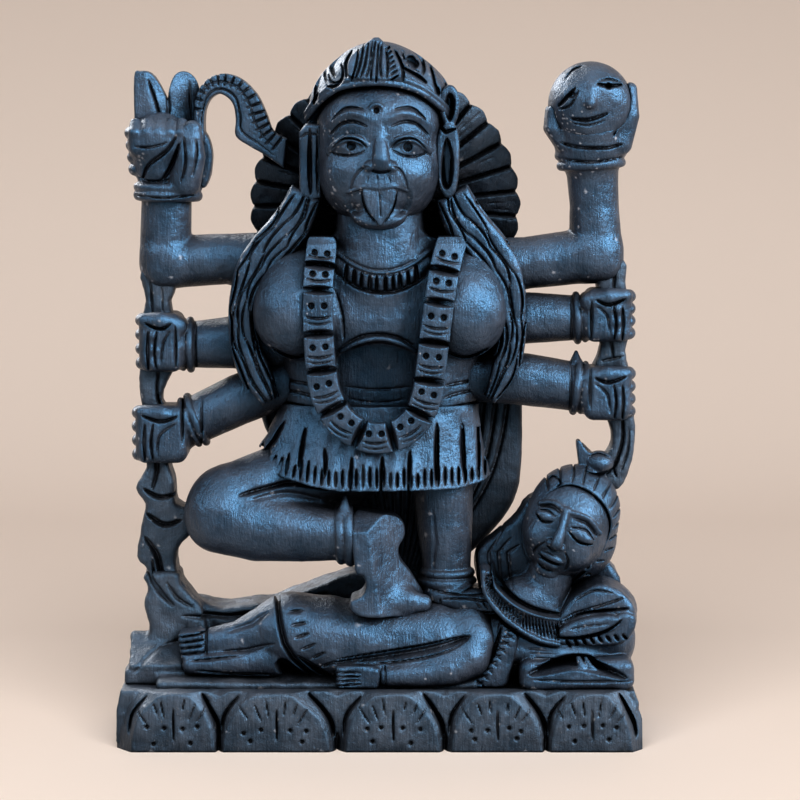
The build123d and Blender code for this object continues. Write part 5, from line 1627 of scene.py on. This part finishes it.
def ebony(name, dark, light, rough, dust, tint):
    """Waxed near-black wood: brush-fine grain, pale ridges of painted highlight and wear, painted shade and
    a duller finish in the cuts and crevices, scattered dust flecks.
    """
    material = bpy.data.materials.new(name)
    material.use_nodes = True
    tree = material.node_tree
    links = tree.links
    shader = tree.nodes["Principled BSDF"]
    place = node(tree, "ShaderNodeTexCoord").outputs["Object"]
    stretch = node(tree, "ShaderNodeMapping")
    stretch.inputs["Scale"].default_value = (2600, 2600, 240)
    links.new(place, stretch.inputs["Vector"])
    grain = noise(tree, stretch.outputs["Vector"], 1.0, 4.0, 0.62)
    cloud = noise(tree, place, 160.0, 5.0)
    specks = noise(tree, place, 3400.0, 2.0)
    # pale ridges, partly painted highlight and partly wear, and dark cuts of painted shade, from how
    # sharply the surface turns
    turning = node(tree, "ShaderNodeNewGeometry").outputs["Pointiness"]
    ridge = remap(tree, turning, 0.53, 0.64)
    cut = remap(tree, turning, 0.50, 0.42)
    body = node(tree, "ShaderNodeValToRGB")
    body.color_ramp.elements[0].position = 0.3
    body.color_ramp.elements[0].color = (*dark, 1)
    body.color_ramp.elements[1].position = 0.75
    body.color_ramp.elements[1].color = (*light, 1)
    mixed = maths(tree, "MULTIPLY_ADD", grain, 0.6, cloud)
    links.new(maths(tree, "SUBTRACT", mixed, 0.3), body.inputs["Fac"])
    # painted highlight and wear: the colour on sharp ridges is lightened towards a pale tone
    ridge_highlight_and_wear = maths(tree, "MULTIPLY", ridge, mixed)
    colour = blend_colour(tree, ridge_highlight_and_wear, body.outputs["Color"], [2.5 * c + 0.08 for c in light])
    # painted shade: the colour in sharp cuts is darkened towards near black
    colour = blend_colour(tree, cut, colour, [0.25 * c for c in dark])
    flecks = remap(tree, specks, 0.68, 0.74, 0.0, dust)
    colour = blend_colour(tree, flecks, colour, (0.16, 0.15, 0.145))
    # painted shade: ambient occlusion darkens the colour and weakens the specular in crevices and where
    # pieces meet
    crevice = node(tree, "ShaderNodeAmbientOcclusion")
    crevice.samples = 4
    crevice.inputs["Distance"].default_value = 0.014
    painted_crevice_shade = remap(tree, crevice.outputs["AO"], 0.25, 0.88, 0.08, 1.0)
    deep = node(tree, "ShaderNodeMix", data_type="RGBA", blend_type="MULTIPLY")
    deep.inputs["Factor"].default_value = 1.0
    links.new(colour, deep.inputs["A"])
    links.new(painted_crevice_shade, deep.inputs["B"])
    links.new(deep.outputs["Result"], shader.inputs["Base Color"])
    gloss = remap(tree, grain, 0.0, 1.0, rough - 0.10, rough + 0.14)
    links.new(maths(tree, "MULTIPLY_ADD", cut, 0.3, gloss), shader.inputs["Roughness"])
    links.new(maths(tree, "MULTIPLY", painted_crevice_shade, 0.5), shader.inputs["Specular IOR Level"])
    shader.inputs["Specular Tint"].default_value = (*tint, 1)
    brushed = bumped(tree, grain, 0.8, 0.00022)
    speckled = bumped(tree, specks, 0.4, 0.00015, brushed)
    # broad knife facets break up the highlights
    links.new(bumped(tree, cloud, 0.6, 0.0016, speckled), shader.inputs["Normal"])
    return material


FINISHES = {
    "ebony": ebony("ebony_waxed", (0.0045, 0.0052, 0.0075), (0.0175, 0.0205, 0.0280), 0.31, 0.2,
                   (0.16, 0.52, 1.0)),
    "ebony_ground": ebony("ebony_dull", (0.0050, 0.0058, 0.0080), (0.0220, 0.0245, 0.0310), 0.40, 0.3,
                          (0.28, 0.60, 1.0)),
}
for piece, slot in PIECES:
    piece.data.materials.clear()
    piece.data.materials.append(FINISHES[slot])


# ---------------------------------------------------------------- room, lights and camera


def sweep():
    """A pale floor that curves up into a backdrop, in one piece."""
    points = [(y, 0.0) for y in np.linspace(-4.0, 0.30, 7)]
    points += [(0.30 + 0.30 * math.sin(a), 0.30 - 0.30 * math.cos(a)) for a in np.linspace(0.1, math.pi / 2,
        14)]
    points += [(0.60, z) for z in (0.5, 0.9, 1.3)]
    data = bpy.data.meshes.new("sweep")
    verts = [(x, y, z) for x in (-4.0, 4.0) for y, z in points]
    count = len(points)
    faces = [(i, count + i, count + i + 1, i + 1) for i in range(count - 1)]
    data.from_pydata(verts, [], faces)
    for face in data.polygons:
        face.use_smooth = True
    floor = bpy.data.objects.new("sweep", data)
    bpy.context.scene.collection.objects.link(floor)
    material = bpy.data.materials.new("pale_paper")
    material.use_nodes = True
    tree = material.node_tree
    shader = tree.nodes["Principled BSDF"]
    # painted shade: the paper's colour darkens where it rises, standing in for the light falling off up the
    # backdrop
    place = node(tree, "ShaderNodeTexCoord")
    split = node(tree, "ShaderNodeSeparateXYZ")
    tree.links.new(place.outputs["Object"], split.inputs["Vector"])
    height = node(tree, "ShaderNodeMapRange")
    height.inputs["From Max"].default_value = 0.17
    tree.links.new(split.outputs["Z"], height.inputs["Value"])
    painted_falloff_colour = node(tree, "ShaderNodeMix", data_type="RGBA")
    painted_falloff_colour.inputs["A"].default_value = (0.95, 0.83, 0.75, 1)
    painted_falloff_colour.inputs["B"].default_value = (0.66, 0.57, 0.51, 1)
    tree.links.new(height.outputs["Result"], painted_falloff_colour.inputs["Factor"])
    tree.links.new(painted_falloff_colour.outputs["Result"], shader.inputs["Base Color"])
    shader.inputs["Roughness"].default_value = 0.9
    data.materials.append(material)
    return floor


floor = sweep()


def lamp(name, place, target, size, power, colour, only=()):
    data = bpy.data.lights.new(name, "AREA")
    data.shape = "RECTANGLE"
    data.size, data.size_y = size
    data.energy = power
    data.color = colour
    made = bpy.data.objects.new(name, data)
    bpy.context.scene.collection.objects.link(made)
    made.location = place
    aim = np.array(target) - np.array(place)
    made.rotation_euler = look_along(aim)
    if only:
        group = bpy.data.collections.new(name + "_lit")
        for piece in only:
            group.objects.link(piece)
        made.light_linking.receiver_collection = group
    return made


def look_along(aim):
    """Turns an area light or camera, which looks down its own -Z, along a direction."""
    flat = math.hypot(aim[0], aim[1])
    return (math.atan2(flat, -aim[2]), 0.0, math.atan2(-aim[0], aim[1]))


statue = [piece for piece, _ in PIECES]
MIDDLE = (0.0, 0.0, 0.07)
SOFT_WHITE = (1.0, 0.98, 0.96)
lamp("wash", (0.0, -0.85, 0.55), (0.0, -0.3, 0.0), (1.3, 0.8), 17.0, (1.0, 0.97, 0.94), [floor])
lamp("key", (0.66, -0.44, 0.46), MIDDLE, (0.46, 0.46), 40.0, SOFT_WHITE, statue)
lamp("side", (-0.52, -0.40, 0.48), MIDDLE, (0.30, 0.30), 7.0, SOFT_WHITE, statue)
lamp("front", (0.15, -0.80, 0.65), MIDDLE, (0.4, 0.4), 6.0, SOFT_WHITE, statue)
lamp("fill", (-0.10, -0.9, 0.02), MIDDLE, (0.9, 0.3), 2.6, (1.0, 0.97, 0.94), statue)
lamp("top", (0.1, 0.0, 1.0), MIDDLE, (0.9, 0.9), 7.0, SOFT_WHITE, statue)
rear = lamp("rear", (-0.34, 0.40, 0.42), MIDDLE, (0.3, 0.3), 6.0, SOFT_WHITE, statue)
rear.visible_camera = False
bpy.context.scene.view_settings.view_transform = "Standard"

world = bpy.data.worlds.new("soft_room")
world.use_nodes = True
world.node_tree.nodes["Background"].inputs["Color"].default_value = (1.0, 0.98, 0.96, 1)
world.node_tree.nodes["Background"].inputs["Strength"].default_value = 0.15
bpy.context.scene.world = world

DISTANCE, RISE = 0.6, math.radians(6)
AIM = (0.0045, 0.0, 0.0681)
camera_data = bpy.data.cameras.new("camera")
camera_data.sensor_width = 36
camera_data.lens = 134.2
camera = bpy.data.objects.new("camera", camera_data)
bpy.context.scene.collection.objects.link(camera)
camera.location = (AIM[0], AIM[1] - DISTANCE * math.cos(RISE), AIM[2] + DISTANCE * math.sin(RISE))
camera.rotation_euler = (math.pi / 2 - RISE, 0, 0)
camera_data.clip_start = 0.01
bpy.context.scene.camera = camera
